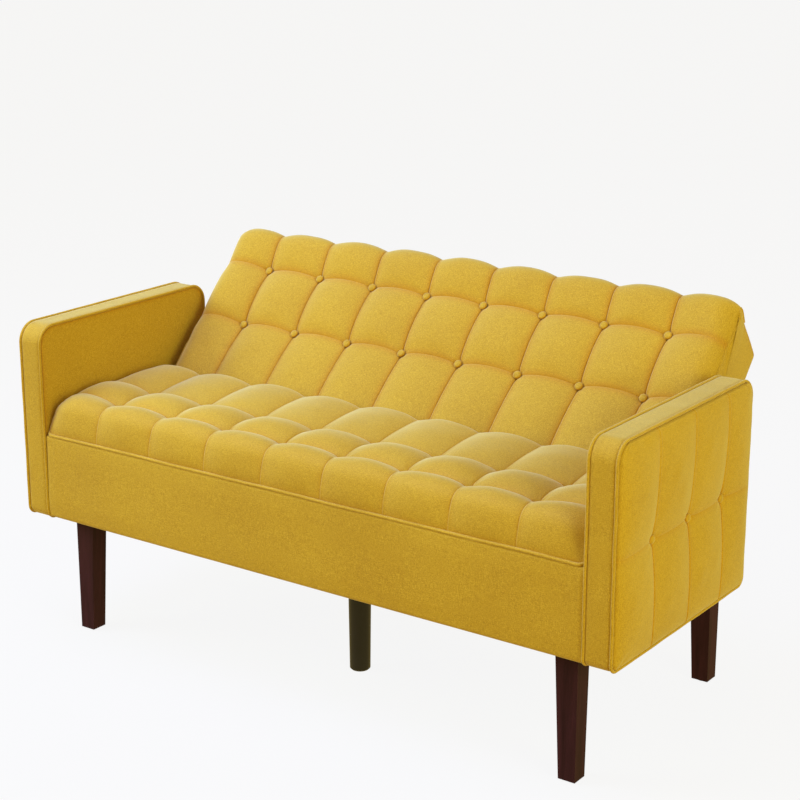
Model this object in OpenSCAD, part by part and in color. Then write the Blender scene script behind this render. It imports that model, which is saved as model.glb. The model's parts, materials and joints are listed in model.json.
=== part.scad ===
// Two-seat click-clack sofa with wooden legs.
// Millimetres. +Z is up, the sofa faces -Y, and X runs from arm to arm.
// The origin is on the floor, under the middle of the sofa's overall box.

/* [Overall] */
// Overall width, over both arms
overall_w = 1370; // [1300:10:1900]
// Height of the underside of the seat box
base_z = 253; // [220:1:290]
// Depth of the seat box, front to rear
base_d = 608; // [590:1:640]

/* [Arms] */
// Thickness of each arm
arm_t = 59; // [50:1:80]
// Depth of each arm, front to rear
arm_d = 489; // [440:1:520]
// Height of the top of the arms
arm_top = 649; // [600:1:700]
// Corner radius at the top of the arms
arm_r_top = 38; // [20:1:60]
// Corner radius at the bottom of the arms
arm_r_bottom = 18; // [15:1:30]
// Diameter of the welt cord on every rim
welt_d = 5.6; // [4:0.2:7]
// Thickness of the cloth and wadding on the plain faces
cover_t = 6; // [4:1:8]

/* [Seat] */
// Height of the welt along the seat's front edge
seat_welt_z = 428; // [420:1:440]
// Height of the seat cushion's top
seat_top = 506; // [495:1:520]
// Radius of the cushion's front edge
seat_r_front = 56; // [40:1:60]
// Button columns across the seat and the back
button_cols = 8; // [6:1:12]
// Spacing of the seat's button columns
seat_col = 140; // [120:1:142]
// First button row, behind the front edge
seat_row_1 = 74; // [60:1:90]
// Second button row, behind the front edge
seat_row_2 = 176; // [150:1:200]
// Diameter of the covered buttons
button_d = 17; // [14:1:32]
// Depth of the dimple that a button sits in
dimple = 12; // [6:1:16]

/* [Back] */
// Recline of the back from vertical at rest
back_angle = 41.5; // [30:0.5:45]
// Hinge pin behind the arms' front face
pivot_y = 387; // [385:1:395]
// Hinge pin above the floor
pivot_z = 460; // [458:1:462]
// Width of the back
back_w = 1218; // [1216:1:1220]
// Hinge pin to the cushion's front face
back_front = 46; // [40:1:46]
// Hinge pin to the rear face
back_rear = 92; // [80:1:92]
// Hinge pin to the centre of the top front edge's radius
back_h = 337; // [300:1:360]
// Radius of the top front edge
back_r = 24; // [15:1:30]
// Slope of the back's top face
back_top_slope = 20; // [10:1:25]
// Spacing of the back's button columns
back_col = 138; // [120:1:142]
// Lower button row, above the hinge pin
back_row_2 = 139; // [120:1:150]
// Upper button row, above the hinge pin
back_row_1 = 274; // [250:1:290]

/* [Legs] */
// Width of a wooden leg at the floor
leg_foot = 34; // [28:1:40]
// Width of a wooden leg at the top, across the sofa
leg_top_x = 46; // [40:1:52]
// Width of a wooden leg at the top, front to rear
leg_top_y = 40; // [36:1:46]
// Outer face of the wooden legs from the middle of the sofa
leg_x = 595; // [560:1:600]
// Front face of the front legs behind the arms' front face
leg_front_y = 44; // [40:1:60]
// Rear face of the rear legs behind the arms' front face
leg_rear_y = 587; // [560:1:590]
// Centre leg behind the arms' front face
centre_leg_y = 219; // [200:1:240]
// Diameter of the centre leg at the top
centre_leg_d = 47; // [40:1:50]
// Diameter of the centre leg at the floor
centre_foot_d = 41; // [36:1:44]

/* [Timber and steel] */
// Thickness of the seat box rails
rail_t = 22; // [18:1:22]
// Thickness of ply boards
ply_t = 5; // [4:1:6]
// Wire thickness of the seat springs
spring_wire = 4; // [3:0.5:5]
// Number of seat springs
spring_count = 8; // [6:1:8]
// Steel thickness of hinge arms and brackets
steel_t = 4; // [3:0.5:4]
// Diameter of the hinge pins
pin_d = 12; // [10:1:12]

/* [Hidden] */
$fn = 64;

cloth = "goldenrod";
timber = "burlywood";
steel = "silver";

half_w = overall_w / 2;
arm_in = half_w - arm_t;                    // inner face of an arm
box_x = arm_in - 4.5;                       // outer face of the seat box's side rails
rail_in = box_x - rail_t;                   // inner face of a side rail
skin = 0.5;                                 // gap left between parts that only lie near each other
frame_z = base_z + 3;                       // underside of the rails, above the dust cover
seat_frame_top = 418;                       // top of the rails under the seat cushion
rear_frame_top = 350;                       // top of the rails under the back
seat_frame_d = 334;                         // rear face of the raised part of the seat box
seat_rear = pivot_y - back_front - 3;       // rear face of the seat cushion
welt_seat = welt_d + 0.2;                   // square rebate that a welt lies in
front_rail_y = 8;                           // front face of the front rail
glide_h = 3;                                // height of a leg glide
button_h = 7;                               // height of a covered button
shank_d = 6;                                // diameter of a button's shank

// Hinge, from the side rail's inner face towards the middle of the sofa
bracket_x = rail_in - steel_t;              // inner face of the bracket
arm_plate_x = bracket_x - skin - steel_t;   // inner face of the hinge arm
ratchet_r = 30;                             // rim of the ratchet
pawl_pin_d = 8;                             // diameter of a pawl pin
pin_gap = 0.05;                             // radial running clearance on the pins

stile_x = arm_plate_x - rail_t;             // inner face of a back stile
back_frame_y = 18;                          // front face of the back's frame behind the hinge pin
back_foot = 44;                             // bottom of the back's frame above the hinge pin
back_end = back_w / 2;
back_tail = 20;                             // bottom of the rear face below the hinge pin
cushion_rear_y = 14;                        // rear plane of the back cushion

// Top of the back at a distance y behind the hinge pin
top_tangent_y = -back_front + back_r + back_r * sin(back_top_slope);
top_tangent_z = back_h + back_r * cos(back_top_slope);
function back_top(y) = top_tangent_z - (y - top_tangent_y) * tan(back_top_slope);

// The rear top corner is the rearmost point of the sofa at rest
rear_reach = pivot_y + back_rear * cos(back_angle) + back_top(back_rear) * sin(back_angle);
front_y = -rear_reach / 2;

// ---- placing ----

// Measures y from the front face of the arms
module from_front() {
    translate([0, front_y, 0])
        children();
}

// The back's own frame: origin on the hinge pins, z up the back, y towards its rear face
module on_back() {
    from_front()
        translate([0, pivot_y, pivot_z])
            rotate([-back_angle, 0, 0])
                children();
}

module right_side() {
    children();
}

module left_side() {
    mirror([1, 0, 0])
        children();
}

module both_sides() {
    right_side() children();
    left_side() children();
}

// A profile drawn with y across and z up, extruded from x0 to x1
module along_x(x0, x1) {
    translate([x0, 0, 0])
        rotate([90, 0, 90])
            linear_extrude(x1 - x0)
                children();
}

module box(x, y, z) {
    translate([x[0], y[0], z[0]])
        cube([x[1] - x[0], y[1] - y[0], z[1] - z[0]]);
}

// A rod along x
module rod_x(x0, x1, r, y, z) {
    translate([x0, y, z])
        rotate([0, 90, 0])
            cylinder(h = x1 - x0, r = r);
}

// A rod along y
module rod_y(y0, y1, r, x, z) {
    translate([x, y0, z])
        rotate([-90, 0, 0])
            cylinder(h = y1 - y0, r = r);
}

// ---- outlines ----

// A rectangle w by h with corner radii r = [bottom left, bottom right, top right, top left]
module soft_rect(w, h, r) {
    corners = [[0, 0], [w, 0], [w, h], [0, h]];
    inward = [[1, 1], [-1, 1], [-1, -1], [1, -1]];
    arrive = [[0, 1], [-1, 0], [0, -1], [1, 0]];
    leave = [[1, 0], [0, 1], [-1, 0], [0, -1]];
    intersection() {
        square([w, h]);
        union() {
            polygon([for (i = [0:3]) each r[i] > 0
                ? [corners[i] + arrive[i] * r[i], corners[i] + leave[i] * r[i]]
                : [corners[i]]]);
            for (i = [0:3])
                if (r[i] > 0)
                    translate(corners[i] + inward[i] * r[i])
                        circle(r[i]);
        }
    }
}

// Side view of an arm, drawn inset from its rim
module arm_outline(inset) {
    rt = arm_r_top - inset;
    rb = arm_r_bottom - inset;
    translate([inset, base_z + inset])
        soft_rect(arm_d - 2 * inset, arm_top - base_z - 2 * inset, [rb, rb, rt, rt]);
}

// Side view of the whole back in its own frame, drawn inset from its skin
module back_outline(inset) {
    front = back_front - inset;
    rear = back_rear - inset;
    r = back_r - inset;
    top = -inset / cos(back_top_slope);
    circle(front);
    translate([-back_front + back_r, back_h])
        circle(r);
    polygon([
        [0, -front], [rear, inset - back_tail], [rear, back_top(rear) + top],
        [top_tangent_y - inset * sin(back_top_slope), top_tangent_z - inset * cos(back_top_slope)],
        [-back_front + back_r, back_h], [-front, back_h], [-front, 0]
    ]);
}

// ---- seat box ----

module front_rail() {
    color(timber)
        from_front()
            box([-rail_in, rail_in], [front_rail_y, front_rail_y + rail_t], [frame_z, seat_frame_top]);
}

module rear_rail() {
    color(timber)
        from_front()
            box([-rail_in, rail_in], [base_d - cover_t - rail_t, base_d - cover_t], [frame_z, rear_frame_top]);
}

// Stepped ply side: high under the seat cushion, low under the back
module side_rail() {
    from_front()
        difference() {
            along_x(rail_in, box_x)
                polygon([
                    [front_rail_y, frame_z], [base_d - cover_t, frame_z], [base_d - cover_t, rear_frame_top],
                    [seat_frame_d, rear_frame_top], [seat_frame_d, seat_frame_top],
                    [front_rail_y, seat_frame_top]
                ]);
            arm_bolt_spots()
                rod_x(rail_in - 1, box_x + 1, 4.5, 0, 0);
            bracket_bolt_spots()
                rod_x(rail_in - 1, box_x + 1, 3.1, 0, 0);
        }
}

module side_rail_left() {
    color(timber) left_side() side_rail();
}

module side_rail_right() {
    color(timber) right_side() side_rail();
}

module spring_rail() {
    color(timber)
        from_front()
            box([-rail_in, rail_in], [seat_frame_d - rail_t, seat_frame_d], [frame_z + 60, seat_frame_top]);
}

centre_rail_w = 80;
centre_rail_h = 40;

module centre_rail() {
    color(timber)
        from_front()
            difference() {
                box([-centre_rail_w / 2, centre_rail_w / 2],
                    [front_rail_y + rail_t, base_d - cover_t - rail_t], [frame_z, frame_z + centre_rail_h]);
                centre_bolt_hole();
            }
}

block = 72;
block_h = 60;

module corner_blocks() {
    color(timber)
        difference() {
            both_sides() from_front() {
                box([rail_in - block, rail_in], [front_rail_y + rail_t, front_rail_y + rail_t + block],
                    [frame_z, frame_z + block_h]);
                box([rail_in - block, rail_in],
                    [base_d - cover_t - rail_t - block, base_d - cover_t - rail_t],
                    [frame_z, frame_z + block_h]);
            }
            at_legs() leg_bolt_hole();
        }
}

// ---- seat springing ----

spring_w = 50;
spring_pitch = 22;
spring_z = seat_frame_top - 10;
spring_y0 = front_rail_y + rail_t + 4;
spring_run = seat_frame_d - rail_t - 4 - spring_y0;
spring_turns = floor(spring_run / spring_pitch);
spring_end = (spring_run - spring_turns * spring_pitch) / 2;
clip_w = 16;

function spring_x(i) = (i - (spring_count - 1) / 2) * (2 * rail_in - 80) / spring_count;

// One zigzag spring, flat wire, running front to rear
module zigzag() {
    linear_extrude(spring_wire) {
        for (i = [0:spring_turns])
            translate([-spring_w / 2, spring_end + i * spring_pitch - spring_wire / 2])
                square([spring_w, spring_wire]);
        for (i = [0:spring_turns - 1])
            translate([(i % 2 == 0 ? 1 : -1) * spring_w / 2, spring_end + (i + 0.5) * spring_pitch])
                difference() {
                    circle(spring_pitch / 2 + spring_wire / 2);
                    circle(spring_pitch / 2 - spring_wire / 2);
                    translate([i % 2 == 0 ? -spring_pitch : 0, -spring_pitch])
                        square([spring_pitch, 2 * spring_pitch]);
                }
        translate([-spring_wire / 2, 0])
            square([spring_wire, spring_end]);
        translate([-spring_wire / 2, spring_run - spring_end])
            square([spring_wire, spring_end]);
    }
}

module seat_springs() {
    color(steel)
        from_front()
            for (i = [0:spring_count - 1])
                translate([spring_x(i), spring_y0, spring_z])
                    zigzag();
}

module spring_clips() {
    color(steel)
        from_front()
            for (i = [0:spring_count - 1])
                for (y = [spring_y0 - 4, spring_y0 + spring_run])
                    box([spring_x(i) - clip_w / 2, spring_x(i) + clip_w / 2], [y, y + 4],
                        [spring_z - 8, spring_z + spring_wire + 3]);
}

// Felt between the springs and the cushion, clear of the clips
module insulator_pad() {
    color("gray")
        from_front()
            box([-rail_in + 4, rail_in - 4], [spring_y0 + 1, spring_y0 + spring_run - 1],
                [spring_z + spring_wire + 0.2, seat_frame_top - 0.2]);
}

// ---- seat upholstery ----

seat_cover_x = arm_in - 5;

module button_at(x, y, z) {
    translate([x, y, z]) {
        cylinder(h = button_h / 2, d = button_d);
        translate([0, 0, button_h / 2])
            cylinder(h = button_h / 2, d1 = button_d, d2 = button_d * 0.6);
        translate([0, 0, -20])
            cylinder(h = 20.5, d = shank_d);
    }
}

// The dimple and shank hole that a button needs
module button_seat(x, y, z) {
    translate([x, y, z]) {
        cylinder(h = 40, d = button_d + 1);
        translate([0, 0, -20.2])
            cylinder(h = 21, d = shank_d + 0.6);
    }
}

module seat_button_grid() {
    for (i = [0:button_cols - 1])
        for (y = [seat_row_1, seat_row_2])
            translate([(i - (button_cols - 1) / 2) * seat_col, y, seat_top - dimple])
                children();
}

module seat_cushion() {
    color(cloth)
        from_front()
            difference() {
                along_x(-seat_cover_x, seat_cover_x)
                    translate([2, seat_frame_top])
                        soft_rect(seat_rear - 2, seat_top - seat_frame_top, [0, 0, 28, seat_r_front]);
                box([-seat_cover_x - 1, seat_cover_x + 1], [0, front_rail_y],
                    [seat_frame_top - 1, seat_welt_z + welt_seat / 2]);
                seat_button_grid() button_seat(0, 0, 0.2);
            }
}

module seat_buttons() {
    color(cloth)
        from_front()
            seat_button_grid() button_at(0, 0, 0.4);
}

// Cloth and wadding on the front rail
module seat_front_cover() {
    color(cloth)
        from_front()
            box([-seat_cover_x, seat_cover_x], [0, front_rail_y], [base_z, seat_welt_z - welt_seat / 2]);
}

module seat_welt() {
    color(cloth)
        from_front()
            rod_x(-seat_cover_x, seat_cover_x, welt_d / 2, welt_d / 2, seat_welt_z);
}

// Covered board over the rear part of the seat box, slotted for the hinge brackets
module rear_deck() {
    color(cloth)
        from_front()
            difference() {
                box([-box_x, box_x], [seat_frame_d + 1, base_d], [rear_frame_top, rear_frame_top + ply_t]);
                both_sides()
                    box([bracket_x - 12, box_x + 1], [pivot_y - 30, pivot_y + 30],
                        [rear_frame_top - 1, rear_frame_top + ply_t + 1]);
            }
}

// Cloth over the rear rail, returning along the sides to the arms
module base_rear_cover() {
    color(cloth)
        from_front()
            difference() {
                box([-box_x - 4, box_x + 4], [arm_d + 1, base_d], [base_z, rear_frame_top]);
                box([-box_x, box_x], [arm_d, base_d - cover_t], [base_z - 1, rear_frame_top + 1]);
            }
}

// Cloth under the seat box, cut away round the leg plates
module dust_cover() {
    color("dimgray")
        difference() {
            from_front() {
                difference() {
                    box([-box_x, box_x], [front_rail_y, base_d - cover_t], [base_z, frame_z]);
                    translate([0, centre_leg_y, 0])
                        box([-plate_half, plate_half], [-plate_half, plate_half], [base_z - 1, frame_z + 1]);
                }
            }
            at_legs()
                box(leg_plate_x, leg_plate_y, [base_z - 1, frame_z + 1]);
        }
}

// ---- arms ----

arm_frame_x0 = arm_in + cover_t + ply_t;            // inner side of the arm's timber frame
arm_frame_x1 = half_w - 2 * cover_t - ply_t;        // outer side of the arm's timber frame
arm_rail = 40;
bolt_z = [frame_z + 74, frame_z + 134];
bolt_y = [120, 300];

module arm_frame() {
    from_front()
        along_x(arm_frame_x0, arm_frame_x1)
            difference() {
                arm_outline(cover_t);
                translate([cover_t + arm_rail, base_z + cover_t + arm_rail])
                    square([arm_d - 2 * (cover_t + arm_rail), arm_top - base_z - 2 * (cover_t + arm_rail)]);
            }
}

module arm_bolt_spots() {
    for (y = bolt_y)
        for (z = bolt_z)
            translate([0, y, z])
                children();
}

// Bolt holes through the arm's inner board and panel
module arm_bolt_holes() {
    from_front()
        arm_bolt_spots()
            rod_x(arm_in - 10, arm_frame_x0 + 20, 5, 0, 0);
}

module arm_boards() {
    difference() {
        from_front() {
            along_x(arm_in + cover_t, arm_frame_x0) arm_outline(cover_t);
            along_x(arm_frame_x1, arm_frame_x1 + ply_t) arm_outline(cover_t);
        }
        arm_bolt_holes();
    }
}

module arm_inner_panel() {
    difference() {
        from_front()
            along_x(arm_in, arm_in + cover_t) arm_outline(cover_t);
        arm_bolt_holes();
    }
}

arm_button_y = [127, 257, 384];
arm_button_z = 449;

module arm_outer_panel() {
    from_front()
        difference() {
            along_x(half_w - 2 * cover_t, half_w) arm_outline(cover_t);
            for (y = arm_button_y)
                rod_x(half_w - 7, half_w + 1, button_d / 2 + 0.5, y, arm_button_z);
        }
}

// Cloth and wadding round the front, top, rear and bottom edges, between the two welts
module arm_band() {
    from_front()
        along_x(arm_in + welt_seat, half_w - welt_seat)
            difference() {
                arm_outline(0);
                arm_outline(cover_t);
            }
}

// One welt round an arm's rim, in the plane x
module arm_welt(x) {
    inset = welt_seat / 2;
    rt = arm_r_top - inset;
    rb = arm_r_bottom - inset;
    y0 = inset;
    y1 = arm_d - inset;
    z0 = base_z + inset;
    z1 = arm_top - inset;
    r = welt_d / 2;
    rod_y(y0 + rb, y1 - rb, r, x, z0);
    rod_y(y0 + rt, y1 - rt, r, x, z1);
    for (y = [y0, y1])
        translate([x, y, z0 + rb])
            cylinder(h = z1 - rt - z0 - rb, r = r);
    corners = [
        [y1 - rb, z0 + rb, rb, 270], [y1 - rt, z1 - rt, rt, 0],
        [y0 + rt, z1 - rt, rt, 90], [y0 + rb, z0 + rb, rb, 180]
    ];
    for (c = corners)
        translate([x, c[0], c[1]])
            rotate([90, 0, 90])
                rotate([0, 0, c[3]])
                    rotate_extrude(angle = 90)
                        translate([c[2], 0])
                            circle(r, $fn = 32);
}

module arm_welts() {
    from_front() {
        arm_welt(arm_in + welt_seat / 2);
        arm_welt(half_w - welt_seat / 2);
    }
}

module arm_buttons() {
    from_front()
        for (y = arm_button_y)
            rod_x(half_w - 6.8, half_w - 1, button_d / 2, y, arm_button_z);
}

// Bolts from inside the side rail, through the arm's inner board, each with a nut plate
module arm_bolts() {
    from_front()
        arm_bolt_spots() {
            rod_x(rail_in - 5, rail_in, 8, 0, 0);
            rod_x(rail_in - 1, arm_frame_x0 + 6, 4, 0, 0);
            rod_x(arm_frame_x0, arm_frame_x0 + 4, 9, 0, 0);
        }
}

module arm_frame_left() {
    color(timber) left_side() arm_frame();
}

module arm_frame_right() {
    color(timber) right_side() arm_frame();
}

module arm_boards_left() {
    color(timber) left_side() arm_boards();
}

module arm_boards_right() {
    color(timber) right_side() arm_boards();
}

module arm_inner_panel_left() {
    color(cloth) left_side() arm_inner_panel();
}

module arm_inner_panel_right() {
    color(cloth) right_side() arm_inner_panel();
}

module arm_outer_panel_left() {
    color(cloth) left_side() arm_outer_panel();
}

module arm_outer_panel_right() {
    color(cloth) right_side() arm_outer_panel();
}

module arm_band_left() {
    color(cloth) left_side() arm_band();
}

module arm_band_right() {
    color(cloth) right_side() arm_band();
}

module arm_welts_left() {
    color(cloth) left_side() arm_welts();
}

module arm_welts_right() {
    color(cloth) right_side() arm_welts();
}

module arm_buttons_left() {
    color(cloth) left_side() arm_buttons();
}

module arm_buttons_right() {
    color(cloth) right_side() arm_buttons();
}

module arm_bolts_left() {
    color(steel) left_side() arm_bolts();
}

module arm_bolts_right() {
    color(steel) right_side() arm_bolts();
}

// ---- legs ----

leg_bolt_d = 8;
leg_top_mid = [leg_x - leg_top_x / 2, leg_top_y / 2];   // middle of a leg's top, from its outer corner
leg_plate_x = [leg_x - leg_top_x - 4, leg_x + 3];
leg_plate_y = [-6, leg_top_y + 6];
plate_half = 32;

// A front right leg: outer faces upright, inner faces tapered
module leg() {
    h = base_z - glide_h;
    difference() {
        intersection() {
            translate([0, 100, glide_h])
                rotate([90, 0, 0])
                    linear_extrude(100)
                        polygon([[leg_x - leg_foot, 0], [leg_x, 0], [leg_x, h], [leg_x - leg_top_x, h]]);
            translate([0, 0, glide_h])
                along_x(leg_x - 100, leg_x + 1)
                    polygon([[0, 0], [leg_foot, 0], [leg_top_y, h], [0, h]]);
        }
        translate([leg_top_mid[0], leg_top_mid[1], base_z - 40])
            cylinder(h = 41, d = leg_bolt_d + 0.2);
        translate([leg_x - leg_foot / 2, leg_foot / 2, 0])
            cylinder(h = 16, d = 3.2);
    }
}

module front_leg() {
    from_front() translate([0, leg_front_y, 0]) children();
}

module rear_leg() {
    from_front() translate([0, leg_rear_y, 0]) mirror([0, 1, 0]) children();
}

// Repeats something made for the front right leg at all four legs
module at_legs() {
    both_sides() {
        front_leg() children();
        rear_leg() children();
    }
}

leg_colour = [0.16, 0.07, 0.05];

module leg_front_left() {
    color(leg_colour) left_side() front_leg() leg();
}

module leg_front_right() {
    color(leg_colour) right_side() front_leg() leg();
}

module leg_rear_left() {
    color(leg_colour) left_side() rear_leg() leg();
}

module leg_rear_right() {
    color(leg_colour) right_side() rear_leg() leg();
}

foot_chamfer = 3;

module centre_leg() {
    color([0.04, 0.04, 0.045])
        from_front()
            translate([0, centre_leg_y, 0])
                difference() {
                    rotate_extrude()
                        polygon([
                            [0, 0], [centre_foot_d / 2 - foot_chamfer, 0], [centre_foot_d / 2, foot_chamfer],
                            [centre_leg_d / 2, base_z], [0, base_z]
                        ]);
                    translate([0, 0, base_z - 40])
                        cylinder(h = 41, d = leg_bolt_d + 0.2);
                }
}

// Steel plates between the legs and the seat box
module leg_plates() {
    color(steel) {
        at_legs()
            difference() {
                box(leg_plate_x, leg_plate_y, [base_z, frame_z]);
                leg_bolt_hole();
            }
        from_front()
            translate([0, centre_leg_y, 0])
                difference() {
                    box([-plate_half, plate_half], [-plate_half, plate_half], [base_z, frame_z]);
                    translate([0, 0, base_z - 1])
                        cylinder(h = 10, d = leg_bolt_d + 0.2);
                }
    }
}

module leg_bolt_hole() {
    translate([leg_top_mid[0], leg_top_mid[1], base_z - 39])
        cylinder(h = 80, d = leg_bolt_d + 0.2);
}

module centre_bolt_hole() {
    translate([0, centre_leg_y, base_z - 39])
        cylinder(h = 80, d = leg_bolt_d + 0.2);
}

// Hanger bolts, half in the leg and half in the block above
module leg_bolts() {
    color(steel) {
        at_legs()
            translate([leg_top_mid[0], leg_top_mid[1], base_z - 38])
                cylinder(h = 74, d = leg_bolt_d);
        from_front()
            translate([0, centre_leg_y, base_z - 38])
                cylinder(h = 74, d = leg_bolt_d);
    }
}

module leg_glides() {
    color("dimgray")
        at_legs()
            translate([leg_x - leg_foot / 2, leg_foot / 2, 0]) {
                cylinder(h = glide_h, d = 24);
                cylinder(h = 15, d = 3);
            }
}

// ---- hinges ----

flange_y = 30;
flange_z = [frame_z + 14, rear_frame_top - 2];
stem = 18;
notch_angles = [18, 30, 41.5];
bracket_bolt_y = [-20, 20];
bracket_bolt_z = [flange_z[0] + 14, flange_z[1] - 14];

module bracket_bolt_spots() {
    for (y = bracket_bolt_y)
        for (z = bracket_bolt_z)
            translate([0, pivot_y + y, z])
                children();
}

// Bracket on the side rail's inner face, with the ratchet rim round the hinge pin
module hinge_bracket() {
    from_front()
        difference() {
            along_x(bracket_x, rail_in)
                difference() {
                    union() {
                        translate([pivot_y - flange_y, flange_z[0]])
                            square([2 * flange_y, flange_z[1] - flange_z[0]]);
                        translate([pivot_y - stem, flange_z[0]])
                            square([2 * stem, pivot_z - flange_z[0]]);
                        translate([pivot_y, pivot_z])
                            circle(ratchet_r);
                    }
                    translate([pivot_y, pivot_z]) {
                        circle(d = pin_d);
                        for (a = notch_angles)
                            rotate(90 - a)
                                translate([ratchet_r - 5, -4])
                                    square([10, 8]);
                    }
                }
            bracket_bolt_spots()
                rod_x(bracket_x - 1, rail_in + 1, 3.1, 0, 0);
        }
}

// Hinge arm, flat on the outer face of a back stile
module hinge_arm() {
    on_back()
        difference() {
            along_x(arm_plate_x, arm_plate_x + steel_t)
                difference() {
                    union() {
                        circle(18);
                        polygon([[14, -11], [back_frame_y + 38, 52], [back_frame_y + 38, 175],
                                 [back_frame_y + 2, 175], [back_frame_y + 2, 62], [-10, 15]]);
                    }
                    circle(pin_d / 2 + pin_gap);
                    translate(pawl_at)
                        circle(d = pawl_pin_d);
                }
            hinge_screw_spots()
                rod_x(arm_plate_x - 1, arm_plate_x + steel_t + 1, 2.6, 0, 0);
        }
}

hinge_screw_z = [112, 136, 160];

module hinge_screw_spots() {
    for (z = hinge_screw_z)
        translate([0, back_frame_y + 20, z])
            children();
}

pawl_at = [30, 70];                         // pawl pin, behind and above the hinge pin on the back
pawl_aim = atan2(-pawl_at[1], -pawl_at[0]);
pawl_reach = norm(pawl_at) - ratchet_r - 1.2;
pawl_x = [bracket_x, bracket_x + 3.5];

// The pawl's finger points at the hinge pin and stops just off the ratchet's rim
module pawl() {
    on_back()
        along_x(pawl_x[0], pawl_x[1])
            translate(pawl_at)
                difference() {
                    union() {
                        circle(9);
                        rotate(pawl_aim)
                            polygon([[0, -8], [pawl_reach, -3], [pawl_reach, 3], [0, 8]]);
                        rotate(pawl_aim + 180)
                            translate([0, -4])
                                square([22, 8]);
                    }
                    circle(pawl_pin_d / 2 + pin_gap);
                }
}

// Rivets that the pawls turn on
module pawl_pins() {
    color(steel)
        both_sides()
            on_back() {
                rod_x(arm_plate_x, pawl_x[1] + 3.8, pawl_pin_d / 2, pawl_at[0], pawl_at[1]);
                rod_x(pawl_x[1] + 2.7, pawl_x[1] + 3.8, 7, pawl_at[0], pawl_at[1]);
            }
}

// Torsion springs on the pawl rivets, each with one leg along its pawl
module pawl_springs() {
    color(steel)
        both_sides()
            on_back()
                along_x(pawl_x[1] + 0.3, pawl_x[1] + 2.5)
                    translate(pawl_at)
                        difference() {
                            union() {
                                circle(6.4);
                                rotate(pawl_aim + 180)
                                    translate([0, 4.4])
                                        square([20, 2]);
                            }
                            circle(4.3);
                        }
}

// Hinge pins, riveted in the brackets
module hinge_pins() {
    color(steel)
        both_sides()
            from_front() {
                rod_x(arm_plate_x - 4, rail_in + 3, pin_d / 2, pivot_y, pivot_z);
                rod_x(arm_plate_x - 4, arm_plate_x - skin, 10, pivot_y, pivot_z);
                rod_x(rail_in, rail_in + 3, 10, pivot_y, pivot_z);
            }
}

module hinge_bolts() {
    color(steel)
        both_sides()
            from_front()
                bracket_bolt_spots() {
                    rod_x(bracket_x - 4, box_x - 1, 3, 0, 0);
                    rod_x(bracket_x - 4, bracket_x, 6, 0, 0);
                }
}

module hinge_screws() {
    color(steel)
        both_sides()
            on_back()
                hinge_screw_spots() {
                    rod_x(arm_plate_x - 18, arm_plate_x + steel_t + 2.5, 2.5, 0, 0);
                    rod_x(arm_plate_x + steel_t, arm_plate_x + steel_t + 2.5, 5, 0, 0);
                }
}

module hinge_bracket_left() {
    color("dimgray") left_side() hinge_bracket();
}

module hinge_bracket_right() {
    color("dimgray") right_side() hinge_bracket();
}

module hinge_arm_left() {
    color(steel) left_side() hinge_arm();
}

module hinge_arm_right() {
    color(steel) right_side() hinge_arm();
}

module pawl_left() {
    color("dimgray") left_side() pawl();
}

module pawl_right() {
    color("dimgray") right_side() pawl();
}

// ---- back frame ----

back_frame_rear = back_rear - cover_t;
back_frame_top = back_top(back_frame_rear) - cover_t / cos(back_top_slope) - skin;
pocket_top = 66;                            // top of the pockets that the hinges work in

module back_top_rail() {
    color(timber)
        on_back()
            box([-stile_x, stile_x], [back_frame_y, back_frame_rear], [back_frame_top - rail_t, back_frame_top]);
}

module back_bottom_rail() {
    color(timber)
        on_back()
            box([-stile_x, stile_x], [back_frame_y, back_frame_rear], [back_foot, back_foot + rail_t]);
}

module back_stiles() {
    color(timber)
        on_back() {
            both_sides()
                difference() {
                    box([stile_x, stile_x + rail_t], [back_frame_y, back_frame_rear], [back_foot, back_frame_top]);
                    hinge_screw_spots()
                        rod_x(arm_plate_x - 19, arm_plate_x + 1, 2.6, 0, 0);
                }
            box([-rail_t / 2, rail_t / 2], [back_frame_y, back_frame_rear],
                [back_foot + rail_t, back_frame_top - rail_t]);
        }
}

strap_w = 60;
strap_t = 1.5;

module back_webbing() {
    color("gray")
        on_back() {
            for (i = [-3.5:3.5])
                box([i * back_col - strap_w / 2, i * back_col + strap_w / 2],
                    [back_frame_y - strap_t, back_frame_y], [back_foot, back_frame_top]);
            for (z = [110, 170, 230])
                box([-stile_x - rail_t / 2, stile_x + rail_t / 2],
                    [back_frame_y - 2 * strap_t, back_frame_y - strap_t], [z, z + strap_w / 2]);
        }
}

// ---- back upholstery ----

module back_button_grid() {
    for (i = [0:button_cols - 1])
        for (z = [back_row_2, back_row_1])
            translate([(i - (button_cols - 1) / 2) * back_col, -back_front + dimple, z])
                rotate([90, 0, 0])
                    children();
}

// Space at both ends of the back for the brackets and pawls
module hinge_pockets() {
    both_sides()
        box([arm_plate_x - 6, back_end - cover_t], [-back_front + 10, back_rear + 10], [-60, pocket_top]);
}

module back_cushion() {
    color(cloth)
        on_back()
            difference() {
                along_x(-back_end + cover_t, back_end - cover_t)
                    intersection() {
                        back_outline(0);
                        translate([-back_front - 1, -back_front - 1])
                            square([back_front + 1 + cushion_rear_y, 2 * back_h]);
                    }
                hinge_pockets();
                back_button_grid() button_seat(0, 0, 0.2);
            }
}

module back_buttons() {
    color(cloth)
        on_back()
            back_button_grid() button_at(0, 0, 0.4);
}

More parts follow.
